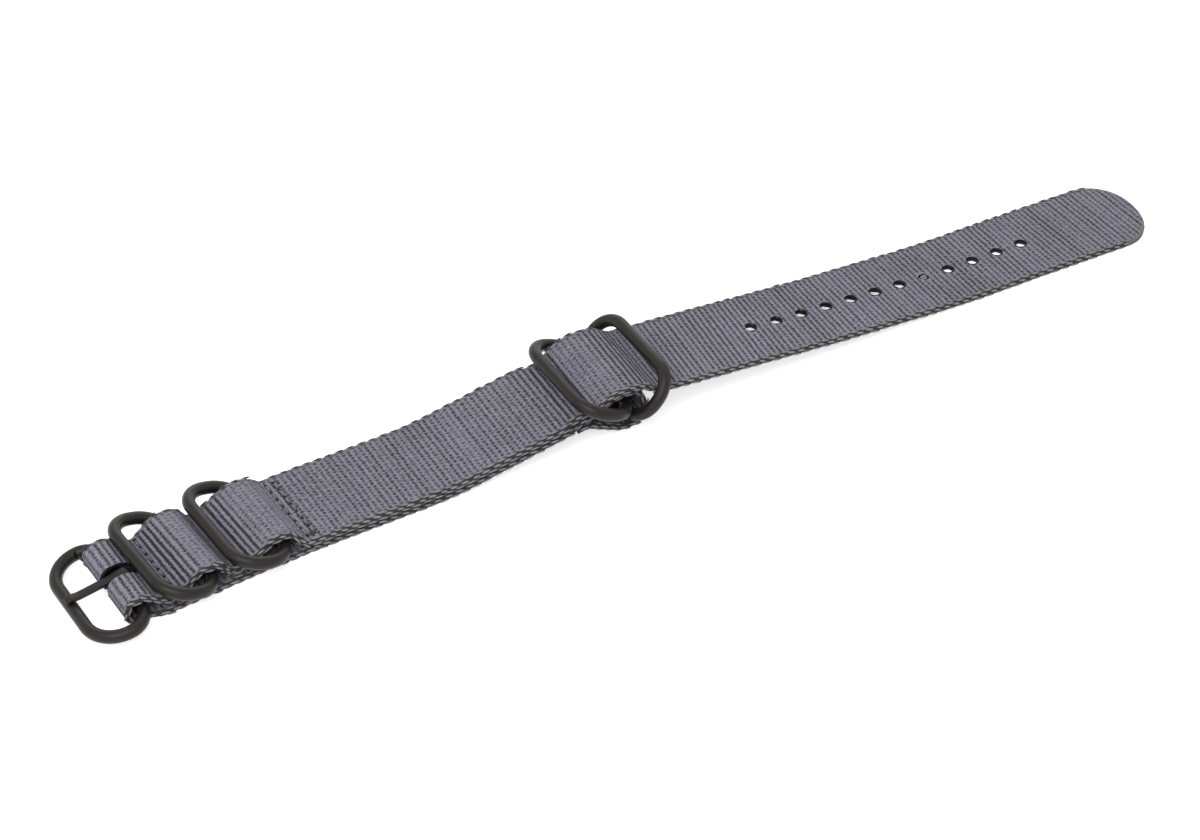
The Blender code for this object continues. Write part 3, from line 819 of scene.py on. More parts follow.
@dataclass
class Webbing:
    """A length of webbing: its line in the XZ plane and what is woven on it."""

    name: str
    path: np.ndarray
    halves: np.ndarray
    rib_gain: np.ndarray
    speck: np.ndarray
    replaces: str
    seed: int
    skew: np.ndarray
    rib_depth: float = 0.15 * MM
    groove_power: float = 0.9
    gain_spread: tuple[float, float] = (0.75, 1.2)
    edge_round: float = 0.55 * MM
    selvage: float = 1.0 * MM
    # How far the painted edge shade of the lacing's inner row dips in dashes with the ribs.
    selvage_wave: float = 0.4
    lace_cover: float = 1.6
    # The painted edge shade on the lacing's inner row.
    inner_lace: float = 0.8
    edge_corner: tuple[float, float] = (0.3, 0.72)
    face_share: float = 0.6
    sag: float = 0.07 * MM
    sag_waves: int = 5
    sag_swing: float = 0.1
    sag_lengths: tuple[float, float] = (9, 30)
    sag_lean: float = 60
    upper_shares: tuple[float, ...] = (-0.98, -0.85, -0.6, -0.4, -0.2, 0.0, 0.2, 0.4, 0.6, 0.85, 0.98)
    pieces: list[bpy.types.Object] = field(default_factory=list)

    def __post_init__(self) -> None:
        """Works out the run and the normals of the line, and draws what varies along it."""
        ahead = np.gradient(self.path, axis=0)
        ahead /= np.linalg.norm(ahead, axis=1)[:, None]
        self.normals = np.stack([-ahead[:, 1], ahead[:, 0]], axis=1)
        lengths = np.linalg.norm(np.diff(self.path, axis=0), axis=1)
        self.run = np.concatenate([[0.0], np.cumsum(lengths)])
        rng, lean = random.Random(self.seed), self.sag_lean
        self.waves = [
            (rng.uniform(*self.sag_lengths) * MM, rng.uniform(0, math.tau), rng.uniform(-lean, lean))
            for _ in range(self.sag_waves)
        ]
        self.gains = [rng.uniform(*self.gain_spread) for _ in range(int(self.length / RIB_PITCH) + 3)]

    @property
    def length(self) -> float:
        """The webbing's flat length."""
        return float(self.run[-1])

    def section(self, half: float) -> list[tuple[float, float, float]]:
        """Places round a section.

        Args:
            half: half the webbing's width there.

        Returns:
            Of each place its y, its height share from -1 to 1, and how far it is into the laced edge, which
            sets the painted shade of the edge there.
        """
        edge = min(self.edge_round, half * 0.5)
        lace = min(self.selvage, half * 0.6)
        inner = [(share * (half - lace), 1.0, 0.0) for share in self.upper_shares]
        inset, shoulder = self.edge_corner
        row = [(lace - half, 1.0, self.inner_lace), (edge - half, 1.0, 1.0)]
        row.append((edge * inset - half, shoulder, 1.0))
        upper = row[::-1] + inner + [(-y, height, laced) for y, height, laced in row]
        lower = [(y, -height, laced) for y, height, laced in upper[::-1]]
        return upper + [(half, 0.0, 1.0)] + lower + [(-half, 0.0, 1.0)]

    def skin(self, index: int, y: float, height: float, edge: float) -> WovenPoint:
        """One point of the skin.

        Args:
            index: the station along the line.
            y: its place across.
            height: its height share.
            edge: how far it is into the laced edge.

        Returns:
            The point with its weave.
        """
        point, normal, run = self.path[index], self.normals[index], float(self.run[index])
        phase = (run + self.skew[index] * y) / RIB_PITCH
        gain = self.rib_gain[index] * self.gains[max(0, min(round(phase), len(self.gains) - 1))]
        dip = sum(math.sin(math.tau * run / wave + start + lean * y) for wave, start, lean in self.waves)
        sunk = self.sag * (0.5 + self.sag_swing * dip) * (1 if height > 0 else 0)
        at = point + normal * (height * HALF_THICKNESS - sunk)
        # Painted shade on the laced edge: full round the edge, in dashes with the ribs along the lacing's
        # inner row, and none past the lacing's end.
        laced = edge * smooth_step((LACE_END_X - point[0]) / LACE_PITCH)
        if 0.0 < edge < 1.0:
            laced *= 1 - self.selvage_wave + self.selvage_wave * math.cos(math.tau * phase)
        flat = max(0.0, 1 - laced * self.lace_cover) * (1.0 if abs(height) > self.face_share else 0.0)
        return WovenPoint(
            at=LIE.at(at[0], y, at[1]),
            out=raised(normal * (1 if height > 0 else -1), point[0]),
            rib_phase=phase,
            rib_gain=gain * flat,
            speck=self.speck[index] * flat,
            edge=laced,
            warp=y / WARP_PITCH,
        )

    def build(self, ribs: GeometryGraph, finish: bpy.types.Material) -> bpy.types.Object:
        """Sweeps the section along the line and cuts the grooves between the ribs.

        Args:
            ribs: the tree that presses the grooves in.
            finish: the webbing's material.

        Returns:
            The ribbed webbing.
        """
        rows = []
        for index, half in enumerate(self.halves):
            rows.append([self.skin(index, *spot) for spot in self.section(half)])
        shape = Shape()
        shape.add([[tuple(woven.at) for woven in row] for row in rows])
        source = shape.build(self.name + "_flat")
        mesh, woven = source.data, [point for row in rows for point in row]
        give(mesh, "face_out", "FLOAT_VECTOR", np.array([tuple(point.out) for point in woven]))
        for name in ("rib_phase", "rib_gain", "speck", "edge"):
            give(mesh, name, "FLOAT", np.array([getattr(point, name) for point in woven]))
        pattern = np.array([(point.rib_phase, point.warp) for point in woven])
        corners = np.empty(len(mesh.loops), dtype=np.int32)
        mesh.loops.foreach_get("vertex_index", corners)
        mesh.uv_layers.new(name="weave").data.foreach_set("uv", pattern[corners].ravel())
        piece = ribs.bake(source, self.name, Depth=self.rib_depth, Power=self.groove_power, Finish=finish)
        self.pieces.append(piece)
        return piece

    def frame_at(self, run: float, side: Side) -> tuple[Vector, Vector, Vector]:
        """How the edge lies at a run along the webbing.

        Args:
            run: how far along it.
            side: which edge.

        Returns:
            The place, the way along the edge and the webbing's normal.
        """

        def at(where: float) -> tuple[Vector, float]:
            """The edge's place, and its x on the straight strap."""
            x, z = (float(np.interp(where, self.run, self.path[:, axis])) for axis in (0, 1))
            return LIE.at(x, side.value * float(np.interp(where, self.run, self.halves)), z), x

        normal = [float(np.interp(run, self.run, self.normals[:, axis])) for axis in (0, 1)]
        here, x = at(run)
        sooner, later = at(max(run - STEP, 0.0))[0], at(min(run + STEP, self.length))[0]
        return here, (later - sooner).normalized(), raised(normal, x)

    def spot(self, x: float, later: bool, above: bool) -> tuple[int, float]:
        """The station where the line crosses x.

        Args:
            x: the place along the strap.
            later: whether its last crossing is meant.
            above: whether the upper face is meant.

        Returns:
            The station, and the sign that turns its normal out of that face.
        """
        crossings = np.nonzero((self.path[:-1, 0] - x) * (self.path[1:, 0] - x) <= 0)[0]
        index = int(crossings[-1] if later else crossings[0])
        rising = self.normals[index][1] > 0
        return index, 1.0 if rising == above else -1.0


@dataclass
class Lacing:
    """The selvage: rows of yarn loops that lie along each edge of the webbing, one loop to two ribs."""

    half_length: float = 1.16 * MM
    half_height: float = 0.27 * MM
    half_depth: float = 0.22 * MM
    slant: float = 0.10
    rings: int = 4
    sides: int = 5
    tilt: float = math.radians(3)
    swell: float = 0.12
    bow_share: float = 0.80
    blunt: float = 0.7
    end_gap: float = 0.30
    # Painted shade on each loop's flanks and ends, and on the far edge's loops, which face away from the
    # light.
    flank_shade: float = 0.6
    end_shade: float = 0.9
    hidden_shade: float = 0.75
    sunk: float = 0.05 * MM

    def loop(
        self, x: float, share: float, centre: tuple[float, float], lean: float, shade: float
    ) -> tuple[list[list[tuple[float, float, float]]], list[float]]:
        """One loop's outer bow.

        Args:
            x: where its middle lies along the edge.
            share: its length as a share of a full loop's.
            centre: where its middle lies outward of the edge and above the webbing's middle.
            lean: how far its back is turned up from straight outward.
            shade: how much painted shade it has all over.

        Returns:
            The rings of its tube, and how far each point is darkened.
        """
        out = Vector((math.cos(lean), math.sin(lean)))
        side = Vector((-out.y, out.x))
        rings, darkness = [], []
        for index in range(self.rings):
            angle = math.pi * (index + self.end_gap) / (self.rings - 1 + 2 * self.end_gap)
            size = math.sin(angle) ** self.blunt
            along = -math.cos(angle) * self.half_length * share
            ring = []
            for turn in circle(self.sides):
                across = math.cos(turn) * self.half_height * size + self.slant * along
                at = Vector(centre) + side * across + out * (math.sin(turn) * self.half_depth * size)
                ring.append((x + along, at.x, at.y))
                # Painted shade on the loop's flanks, between neighbouring loops, and at its ends where it
                # sinks into the webbing.
                dark = self.flank_shade * abs(math.cos(turn)) ** 3 + self.end_shade * (1 - size)
                darkness.append(min(1.0, shade + dark))
            rings.append(ring)
        return rings, darkness

    def link(self, side: Side) -> bpy.types.Object:
        """The loops of one repeat: two on the faces, two round the edge.

        Args:
            side: which edge they lace.

        Returns:
            The loops as one shape.
        """
        # The far edge's loops beside and round the edge are painted in shade, as if turned from the light;
        # the underside loop has a little painted shade on both edges.
        turned = 0.0 if side is Side.NEAR else self.hidden_shade
        face, half = HALF_THICKNESS - self.sunk, LACE_PITCH / 2
        shape = Shape()
        for x, share, centre, lean, shade in (
            (0.0, 1.0, (-0.64 * MM, face), 90, 0.0),
            (half, self.bow_share, (-0.10 * MM, 0.36 * MM), 40, turned),
            (0.0, 1.0, (-0.02 * MM, -0.24 * MM), -10, turned),
            (half, 1.0, (-0.62 * MM, -face), -90, 0.2),
        ):
            rings, darkness = self.loop(x, share, centre, math.radians(lean), shade)
            shape.add(rings, darkened=darkness)
        return shape.build("lace_link")

    def dress(self, strap: Webbing, scatter: GeometryGraph, finish: bpy.types.Material) -> None:
        """Laces both edges of a length of webbing.

        Args:
            strap: the webbing.
            scatter: the tree that copies the loops to each place.
            finish: the yarn's material.
        """
        for side in Side:
            rows = []
            for index in range(int(strap.length / LACE_PITCH)):
                here, along, up = strap.frame_at((index + 0.5) * LACE_PITCH, side)
                if here.x - STRAP_SHIFT[0] < LACE_END_X:
                    rows.append((here, along * side.value, up))
            name = f"{strap.name}_{side.name.lower()}_lacing"
            seed, link = strap.seed + side.value, self.link(side)
            laced = scatter_pieces(scatter, rows, link, name, finish, seed, self.tilt, self.swell)
            strap.pieces.append(laced)


def scatter_pieces(
    tree: GeometryGraph,
    rows: Sequence[tuple[Vector, Vector, Vector]],
    copied: bpy.types.Object,
    name: str,
    finish: bpy.types.Material,
    seed: int,
    tilt: float,
    swell: float,
) -> bpy.types.Object:
    """Copies one small shape to each place.

    Args:
        tree: the tree that does it.
        rows: the place, the way along and the way up of each copy.
        copied: the shape, which is removed afterwards.
        name: the new object's name.
        finish: its material.
        seed: what the random turns start from.
        tilt: the largest turn of a copy.
        swell: the largest change of a copy's size, as a share.

    Returns:
        The copies as one object.
    """
    mesh = bpy.data.meshes.new(name + "_places")
    mesh.from_pydata([tuple(at) for at, _, _ in rows], [], [])
    give(mesh, "along", "FLOAT_VECTOR", np.array([tuple(along) for _, along, _ in rows]))
    give(mesh, "up", "FLOAT_VECTOR", np.array([tuple(up) for _, _, up in rows]))
    source = place(name + "_places", mesh)
    piece = tree.bake(source, name, Copied=copied, Finish=finish, Seed=seed, Tilt=tilt, Swell=swell)
    bpy.data.objects.remove(copied)
    settle(piece)
    return piece


def rib_tree() -> GeometryGraph:
    """The tree that presses rounded grooves between the ribs of webbing.

    Returns:
        The tree, whose inputs are Depth, Power and Finish.
    """
    sockets = {"Depth": "NodeSocketFloat", "Power": "NodeSocketFloat", "Finish": "NodeSocketMaterial"}
    graph = GeometryGraph("press_ribs", sockets)
    given = graph.given.outputs
    wave = graph.math("SINE", graph.math("MULTIPLY", graph.read("rib_phase"), math.pi))
    ridge = graph.math("POWER", graph.math("ABSOLUTE", wave), given["Power"])
    groove = graph.math("MULTIPLY", graph.math("SUBTRACT", 1.0, ridge), graph.read("rib_gain"))
    depth = graph.math("MULTIPLY", groove, graph.math("MULTIPLY", given["Depth"], -1.0))
    out = graph.read("face_out", "FLOAT_VECTOR")
    offset = graph.add("ShaderNodeVectorMath", {0: out}, operation="SCALE")
    graph.feed(offset.inputs["Scale"], depth)
    inputs = {"Geometry": given["Geometry"], "Offset": offset.outputs[0]}
    graph.close(graph.add("GeometryNodeSetPosition", inputs).outputs[0])
    return graph


def scatter_tree() -> GeometryGraph:
    """The tree that copies a small shape to each point, lined up with its attributes.

    Returns:
        The tree, whose inputs are Copied, Finish, Seed, Tilt and Swell.
    """
    sockets = {
        "Copied": "NodeSocketObject",
        "Finish": "NodeSocketMaterial",
        "Seed": "NodeSocketInt",
        "Tilt": "NodeSocketFloat",
        "Swell": "NodeSocketFloat",
    }
    graph = GeometryGraph("copy_to_places", sockets)
    given = graph.given.outputs
    points = graph.add("GeometryNodeMeshToPoints", {"Mesh": given["Geometry"]})
    axes = graph.add("FunctionNodeAxesToRotation", primary_axis="Z", secondary_axis="X")
    graph.feed(axes.inputs[0], graph.read("up", "FLOAT_VECTOR"))
    graph.feed(axes.inputs[1], graph.read("along", "FLOAT_VECTOR"))
    seed = {"Seed": given["Seed"]}
    turn = graph.add("FunctionNodeRandomValue", seed, data_type="FLOAT_VECTOR")
    turn.inputs[0].default_value = (-1.0, -1.0, -1.0)
    scaled = graph.add("ShaderNodeVectorMath", {0: turn.outputs[0]}, operation="SCALE")
    graph.feed(scaled.inputs["Scale"], given["Tilt"])
    local = graph.add("FunctionNodeEulerToRotation", {0: scaled.outputs[0]})
    inputs = {"Rotation": axes.outputs[0], "Rotate By": local.outputs[0]}
    turned = graph.add("FunctionNodeRotateRotation", inputs, rotation_space="LOCAL")
    grown = graph.add("FunctionNodeRandomValue", seed, data_type="FLOAT")
    graph.feed(grown.inputs[2], graph.math("SUBTRACT", 1.0, given["Swell"]))
    graph.feed(grown.inputs[3], graph.math("ADD", 1.0, given["Swell"]))
    copied = graph.add("GeometryNodeObjectInfo", {"Object": given["Copied"]})
    inputs = {
        "Points": points.outputs[0],
        "Instance": copied.outputs["Geometry"],
        "Rotation": turned.outputs[0],
        "Scale": grown.outputs[1],
    }
    graph.close(graph.add("GeometryNodeInstanceOnPoints", inputs).outputs[0])
    return graph


@dataclass
class LongStrap:
    """The main webbing: the buckle's loop, two pockets, the head's crest and the holed tail."""

    loop_radius: float = 2.45 * MM
    loop_shift: float = 0.7 * MM
    loop_shoulder: float = 0.8 * MM
    loop_slope: float = 4.8 * MM
    loop_slope_radius: float = 3.0 * MM
    fold_end: float = 49.8 * MM
    pocket_starts: tuple[float, float] = (19.7 * MM, 34.4 * MM)
    pocket_slack: float = 0.4 * MM
    pocket_crest: float = 1.4 * MM
    pocket_end: float = 4.5 * MM
    pocket_foot_radius: float = 1.8 * MM
    pocket_rise_radius: float = 2.5 * MM
    pocket_crest_radius: float = 3.0 * MM
    crest_run: float = 6.0 * MM
    descent: tuple[float, float] = (4.2 * MM, 3.0 * MM)
    descent_radius: float = 6.0 * MM
    knee: tuple[float, float] = (173.8 * MM, 3.2 * MM)
    landing_x: float = 205.5 * MM
    tail_radius: float = 200.0 * MM
    slot_width: float = 3.4 * MM
    slot_length: float = 7.2 * MM
    slot_corner: float = 0.45 * MM
    hole_radius: float = 1.20 * MM
    hole_flare: float = 0.22 * MM
    hole_sides: int = 28
    hole_ragged: tuple[float, float] = (0.97, 1.03)
    first_hole: float = 157.8 * MM
    hole_pitch: float = 6.32 * MM
    hole_count: int = 12
    uncleared: int = 8
    punch_reach: float = 2.0 * MM
    punch_cut: float = 0.46 * MM
    punch_arc: float = math.radians(300)
    punch_turn: float = 0.9
    punch_steps: int = 26
    lip_sides: int = 6
    lip_offsets: tuple[float, float] = (0.04, 0.16)
    lip_sizes: tuple[float, float] = (0.13, 0.20)
    tip_arc: float = math.radians(78)
    tip_steps: int = 72
    tip_sides: int = 10
    tip_fade: float = 0.25
    tip_widths: tuple[float, float] = (0.34, 0.42)
    tip_inset: float = 0.12 * MM
    tip_outline: float = 0.55
    folded_gain: float = 0.6
    skew_table: tuple[tuple[float, float], ...] = (
        (55.0, 0.0), (75.0, -0.03), (110.0, -0.03), (140.0, -0.10), (152.0, -0.115), (167.0, -0.06),
        (185.0, -0.015), (202.0, 0.0), (220.0, 0.02), (236.0, 0.08), (257.0, 0.09),
    )
    regions: Regions = field(
        default_factory=lambda: Regions(
            [
                (0.0, 1.0, 0.4), (13.0, 1.0, 0.5), (16.0, 1.1, 0.5), (18.6, 0.8, 0.5), (20.4, 1.5, 0.4),
                (24.6, 1.4, 0.4), (26.2, 0.45, 0.9), (29.6, 0.45, 0.9), (30.6, 1.0, 0.5), (35.0, 1.6, 0.3),
                (38.3, 1.5, 0.3), (39.6, 0.8, 0.7), (41.4, 0.4, 0.9), (45.4, 0.4, 0.9), (46.4, 0.9, 0.5),
                (49.0, 0.8, 0.7), (52.0, 0.75, 0.9), (100.0, 0.8, 0.9), (106.0, 0.9, 0.8),
                (110.0, 1.4, 0.5), (114.0, 1.6, 0.4), (115.5, 0.6, 0.9), (120.0, 0.6, 0.9),
                (122.0, 0.9, 0.7), (127.0, 1.5, 0.4), (130.0, 1.2, 0.6), (138.0, 1.0, 0.6),
                (257.0, 0.95, 0.6),
            ]
        )
    )

    @property
    def turn_x(self) -> float:
        """Where the webbing's middle line turns round the buckle's bar."""
        return PIN_X - self.loop_shift - self.loop_radius

    def pocket(self, bar_x: float, start_x: float, lean: float) -> list[tuple[float, float, float]]:
        """The swell over a keeper ring's captured bar.

        Args:
            bar_x: where the bar lies.
            start_x: where the swell starts.
            lean: how far the ring leans.

        Returns:
            The line's corners.
        """
        crest_z = BAR_Z + WIRE_RADIUS + CLEARANCE + HALF_THICKNESS + self.pocket_slack
        rise_z = SQUEEZE.over_ring(BAR_Z, lean)
        return [
            (start_x, UPPER_Z, self.pocket_foot_radius),
            (bar_x - SQUEEZE.reach() - self.pocket_slack, rise_z, self.pocket_rise_radius),
            (bar_x + self.pocket_crest, crest_z, self.pocket_crest_radius),
            (bar_x + self.pocket_end, UPPER_Z, self.pocket_foot_radius),
        ]

    def line(self) -> np.ndarray:
        """The webbing's middle line.

        Returns:
            Even points, x and z, from the folded end to the tip.
        """
        top_z = LOWER_Z + 2 * self.loop_radius
        slope_x = PIN_X + self.loop_shoulder
        crest_z = SQUEEZE.over_ring(HEAD_LEFT_BAR[1], HEAD_LEFT_LEAN) + LAYER_PITCH
        crest_x = HEAD_LEFT_BAR[0] - CREST_AHEAD
        step_x = crest_x + self.crest_run
        corners = [
            (self.fold_end, LOWER_Z, 0.0),
            (self.turn_x, LOWER_Z, self.loop_radius),
            (self.turn_x, top_z, self.loop_radius),
            (slope_x, top_z, self.loop_slope_radius),
            (slope_x + self.loop_slope, UPPER_Z, self.loop_slope_radius),
            *self.pocket(KEEPER_1_X, self.pocket_starts[0], KEEPER_1_LEAN),
            *self.pocket(KEEPER_2_X, self.pocket_starts[1], KEEPER_2_LEAN),
            (RISE_START_X, UPPER_Z, RISE_START_RADIUS),
            (*RISE_END, RISE_END_RADIUS),
            (crest_x, crest_z, CREST_RADIUS),
            (step_x, crest_z, CREST_RADIUS),
            (step_x + self.descent[0], crest_z - self.descent[1], self.descent_radius),
            (*self.knee, self.tail_radius),
            (self.landing_x, LOWER_Z, self.tail_radius),
            (TIP_END_X, LOWER_Z, 0.0),
        ]
        return rounded(corners, RIB_PITCH / RIB_SAMPLES)

    def webbing(self) -> Webbing:
        """The webbing with its widths and weave.

        Returns:
            The webbing, still to be built.
        """
        path = self.line()
        turn = int(np.argmin(path[:, 0]))
        free_bar = HEAD_LEFT_BAR[0] - RING_LENGTH * math.cos(HEAD_LEFT_LEAN)
        fold_spans = [(0.0, PIN_X + SQUEEZE.run)]
        spans = [
            (0.0, KEEPER_1_X + SQUEEZE.run),
            (KEEPER_2_X - RING_LENGTH, KEEPER_2_X + SQUEEZE.run),
            (free_bar - SQUEEZE.run, free_bar + SQUEEZE.run),
        ]
        halves = [SQUEEZE.half(x, fold_spans) for x in path[:turn, 0]]
        halves += [SQUEEZE.half(x, spans) for x in path[turn:, 0]]
        gain, speck = self.regions.at(path[:, 0])
        gain[: turn // 2] = self.folded_gain
        skew = np.interp(path[:, 0], *np.array(self.skew_table).T * [[MM], [1.0]])
        return Webbing("long_strap_webbing", path, np.array(halves), gain, speck, "long_strap", 11, skew)

    def hole_x(self, number: int) -> float:
        """Where a hole lies along the strap, counted from the buckle."""
        return self.first_hole + self.hole_pitch * (number - 1)

    def height_at(self, x: float) -> float:
        """How high the tail lies.

        Args:
            x: the place along it.

        Returns:
            Its middle line's height there.
        """
        line = self.line()
        tail = line[line[:, 0] > HEAD_RIGHT_BAR[0]]
        return float(np.interp(x, tail[:, 0], tail[:, 1]))

    def hole_outline(self, x: float, flare: float) -> list[tuple[float, float]]:
        """A round hole, a little ragged.

        Args:
            x: its middle.
            flare: how far it is opened out.

        Returns:
            Its points, x and y.
        """
        rng = random.Random(round(x / MM))
        points = []
        for angle in circle(self.hole_sides):
            radius = (self.hole_radius + flare) * rng.uniform(*self.hole_ragged)
            points.append((x + radius * math.cos(angle), radius * math.sin(angle)))
        return points

    def uncleared_outline(self, x: float) -> list[tuple[float, float]]:
        """The cut round a plug that was never pushed out.

        Args:
            x: the plug's middle.

        Returns:
            The cut's points, x and y.
        """
        start, steps = self.punch_turn - self.punch_arc / 2, self.punch_steps
        angles = [start + self.punch_arc * step / steps for step in range(steps + 1)]
        outline = []
        for radius, way in ((self.hole_radius, 1), (self.hole_radius - self.punch_cut, -1)):
            row = [(x + radius * math.cos(angle), radius * math.sin(angle)) for angle in angles]
            outline.extend(row[::way])
        return outline

    def cutters(self, finish: bpy.types.Material) -> list[bpy.types.Object]:
        """The shapes of the tongue's slot and of every punched hole.

        Args:
            finish: the material that they leave on the walls, near black partly as painted shade.

        Returns:
            The shapes.
        """
        start, end = self.turn_x - STRAP_THICKNESS, self.turn_x + self.slot_length
        slot = rounded_box(start, end, self.slot_width / 2, self.slot_corner)
        posts = [[(slot, -MM), (slot, 2 * self.loop_radius + STRAP_THICKNESS + MM)]]
        for number in range(1, self.hole_count + 1):
            x = self.hole_x(number)
            z = self.height_at(x)
            low, high = z - self.punch_reach, z + self.punch_reach
            if number == self.uncleared:
                outline = self.uncleared_outline(x)
                posts.append([(outline, low), (outline, high)])
                continue
            mouth, foot = self.hole_outline(x, 0.0), self.hole_outline(x, self.hole_flare)
            under, over = z - HALF_THICKNESS, z + HALF_THICKNESS
            posts.append([(foot, low), (foot, under), (mouth, over), (mouth, high)])
        made = []
        for layers in posts:
            shape = Shape()
            shape.add([[tuple(LIE.at(x, y, z)) for x, y in outline] for outline, z in layers])
            made.append(shape.build("punch", finish))
        return made

    def punch(self, piece: bpy.types.Object, finish: bpy.types.Material) -> None:
        """Cuts the slot and the holes, whose walls take the cutters' material.

        Args:
            piece: the ribbed webbing.
            finish: the material of melted webbing, near black partly as painted shade.
        """
        cutters = self.cutters(finish)
        group = bpy.data.collections.new("punches")
        bpy.context.scene.collection.children.link(group)
        for cutter in cutters:
            group.objects.link(cutter)
        modifier = piece.modifiers.new("punches", "BOOLEAN")
        modifier.operation = "DIFFERENCE"
        modifier.solver = "EXACT"
        modifier.operand_type = "COLLECTION"
        modifier.collection = group
        modifier.material_mode = "TRANSFER"
        graph = bpy.context.evaluated_depsgraph_get()
        held = piece.evaluated_get(graph)
        cut = bpy.data.meshes.new_from_object(held, preserve_all_data_layers=True, depsgraph=graph)
        piece.modifiers.remove(modifier)
        piece.data = cut
        for cutter in cutters:
            bpy.data.objects.remove(cutter)
        bpy.data.collections.remove(group)

    def rims(self, strap: Webbing, finish: bpy.types.Material) -> None:
        """Adds the lips that the hot punch leaves round the holes.

        Args:
            strap: the holed webbing.
            finish: the material of melted webbing, near black partly as painted shade.
        """
        shape, rng = Shape(), random.Random(5)
        for number in range(1, self.hole_count + 1):
            if number == self.uncleared:
                continue
            x = self.hole_x(number)
            z = self.height_at(x) + HALF_THICKNESS - strap.sag * 0.5
            rings = []
            for angle in circle(self.punch_steps):
                radius = self.hole_radius + rng.uniform(*self.lip_offsets) * MM
                thick = rng.uniform(*self.lip_sizes) * MM
                ring = []
                for turn in circle(self.lip_sides):
                    out = radius + math.cos(turn) * thick
                    high = z + math.sin(turn) * thick * 0.5
                    ring.append(tuple(LIE.at(x + out * math.cos(angle), out * math.sin(angle), high)))
                rings.append(ring)
            shape.add(rings, closed=True)
        strap.pieces.append(shape.build("hole_lips", finish))

    def tip_rim(self, strap: Webbing, finish: bpy.types.Material) -> None:
        """Adds the band of melted webbing round the cut tip.

        Args:
            strap: the webbing.
            finish: the band's material.
        """
        rng, rings, darkness = random.Random(8), [], []
        for step in range(self.tip_steps + 1):
            angle = self.tip_arc * (2 * step / self.tip_steps - 1)
            cosine = math.cos(angle)
            x = TIP_X - TIP_ROUND + TIP_ROUND * cosine
            y = math.copysign(SQUEEZE.half(min(x, TIP_END_X), [(0.0, 0.0)]), angle)
            ends = smooth_step((self.tip_arc - abs(angle)) / self.tip_fade)
            wide = rng.uniform(*self.tip_widths) * MM * (0.3 + 0.7 * ends)
            ring = []
            for turn in circle(self.tip_sides):
                shift = math.cos(turn) * wide + self.tip_inset
                high = HALF_THICKNESS * (1 - 0.1 * ends + math.sin(turn) * (0.9 + 0.12 * ends))
                ring.append(tuple(LIE.at(x - cosine * shift, y - math.sin(angle) * shift, max(high, 0.0))))
                # Darker along the band's outer side.
                darkness.append(self.tip_outline * max(0.0, -math.cos(turn)))
            rings.append(ring)
        shape = Shape()
        shape.add(rings, darkened=darkness)
        strap.pieces.append(shape.build("tip_melt", finish))


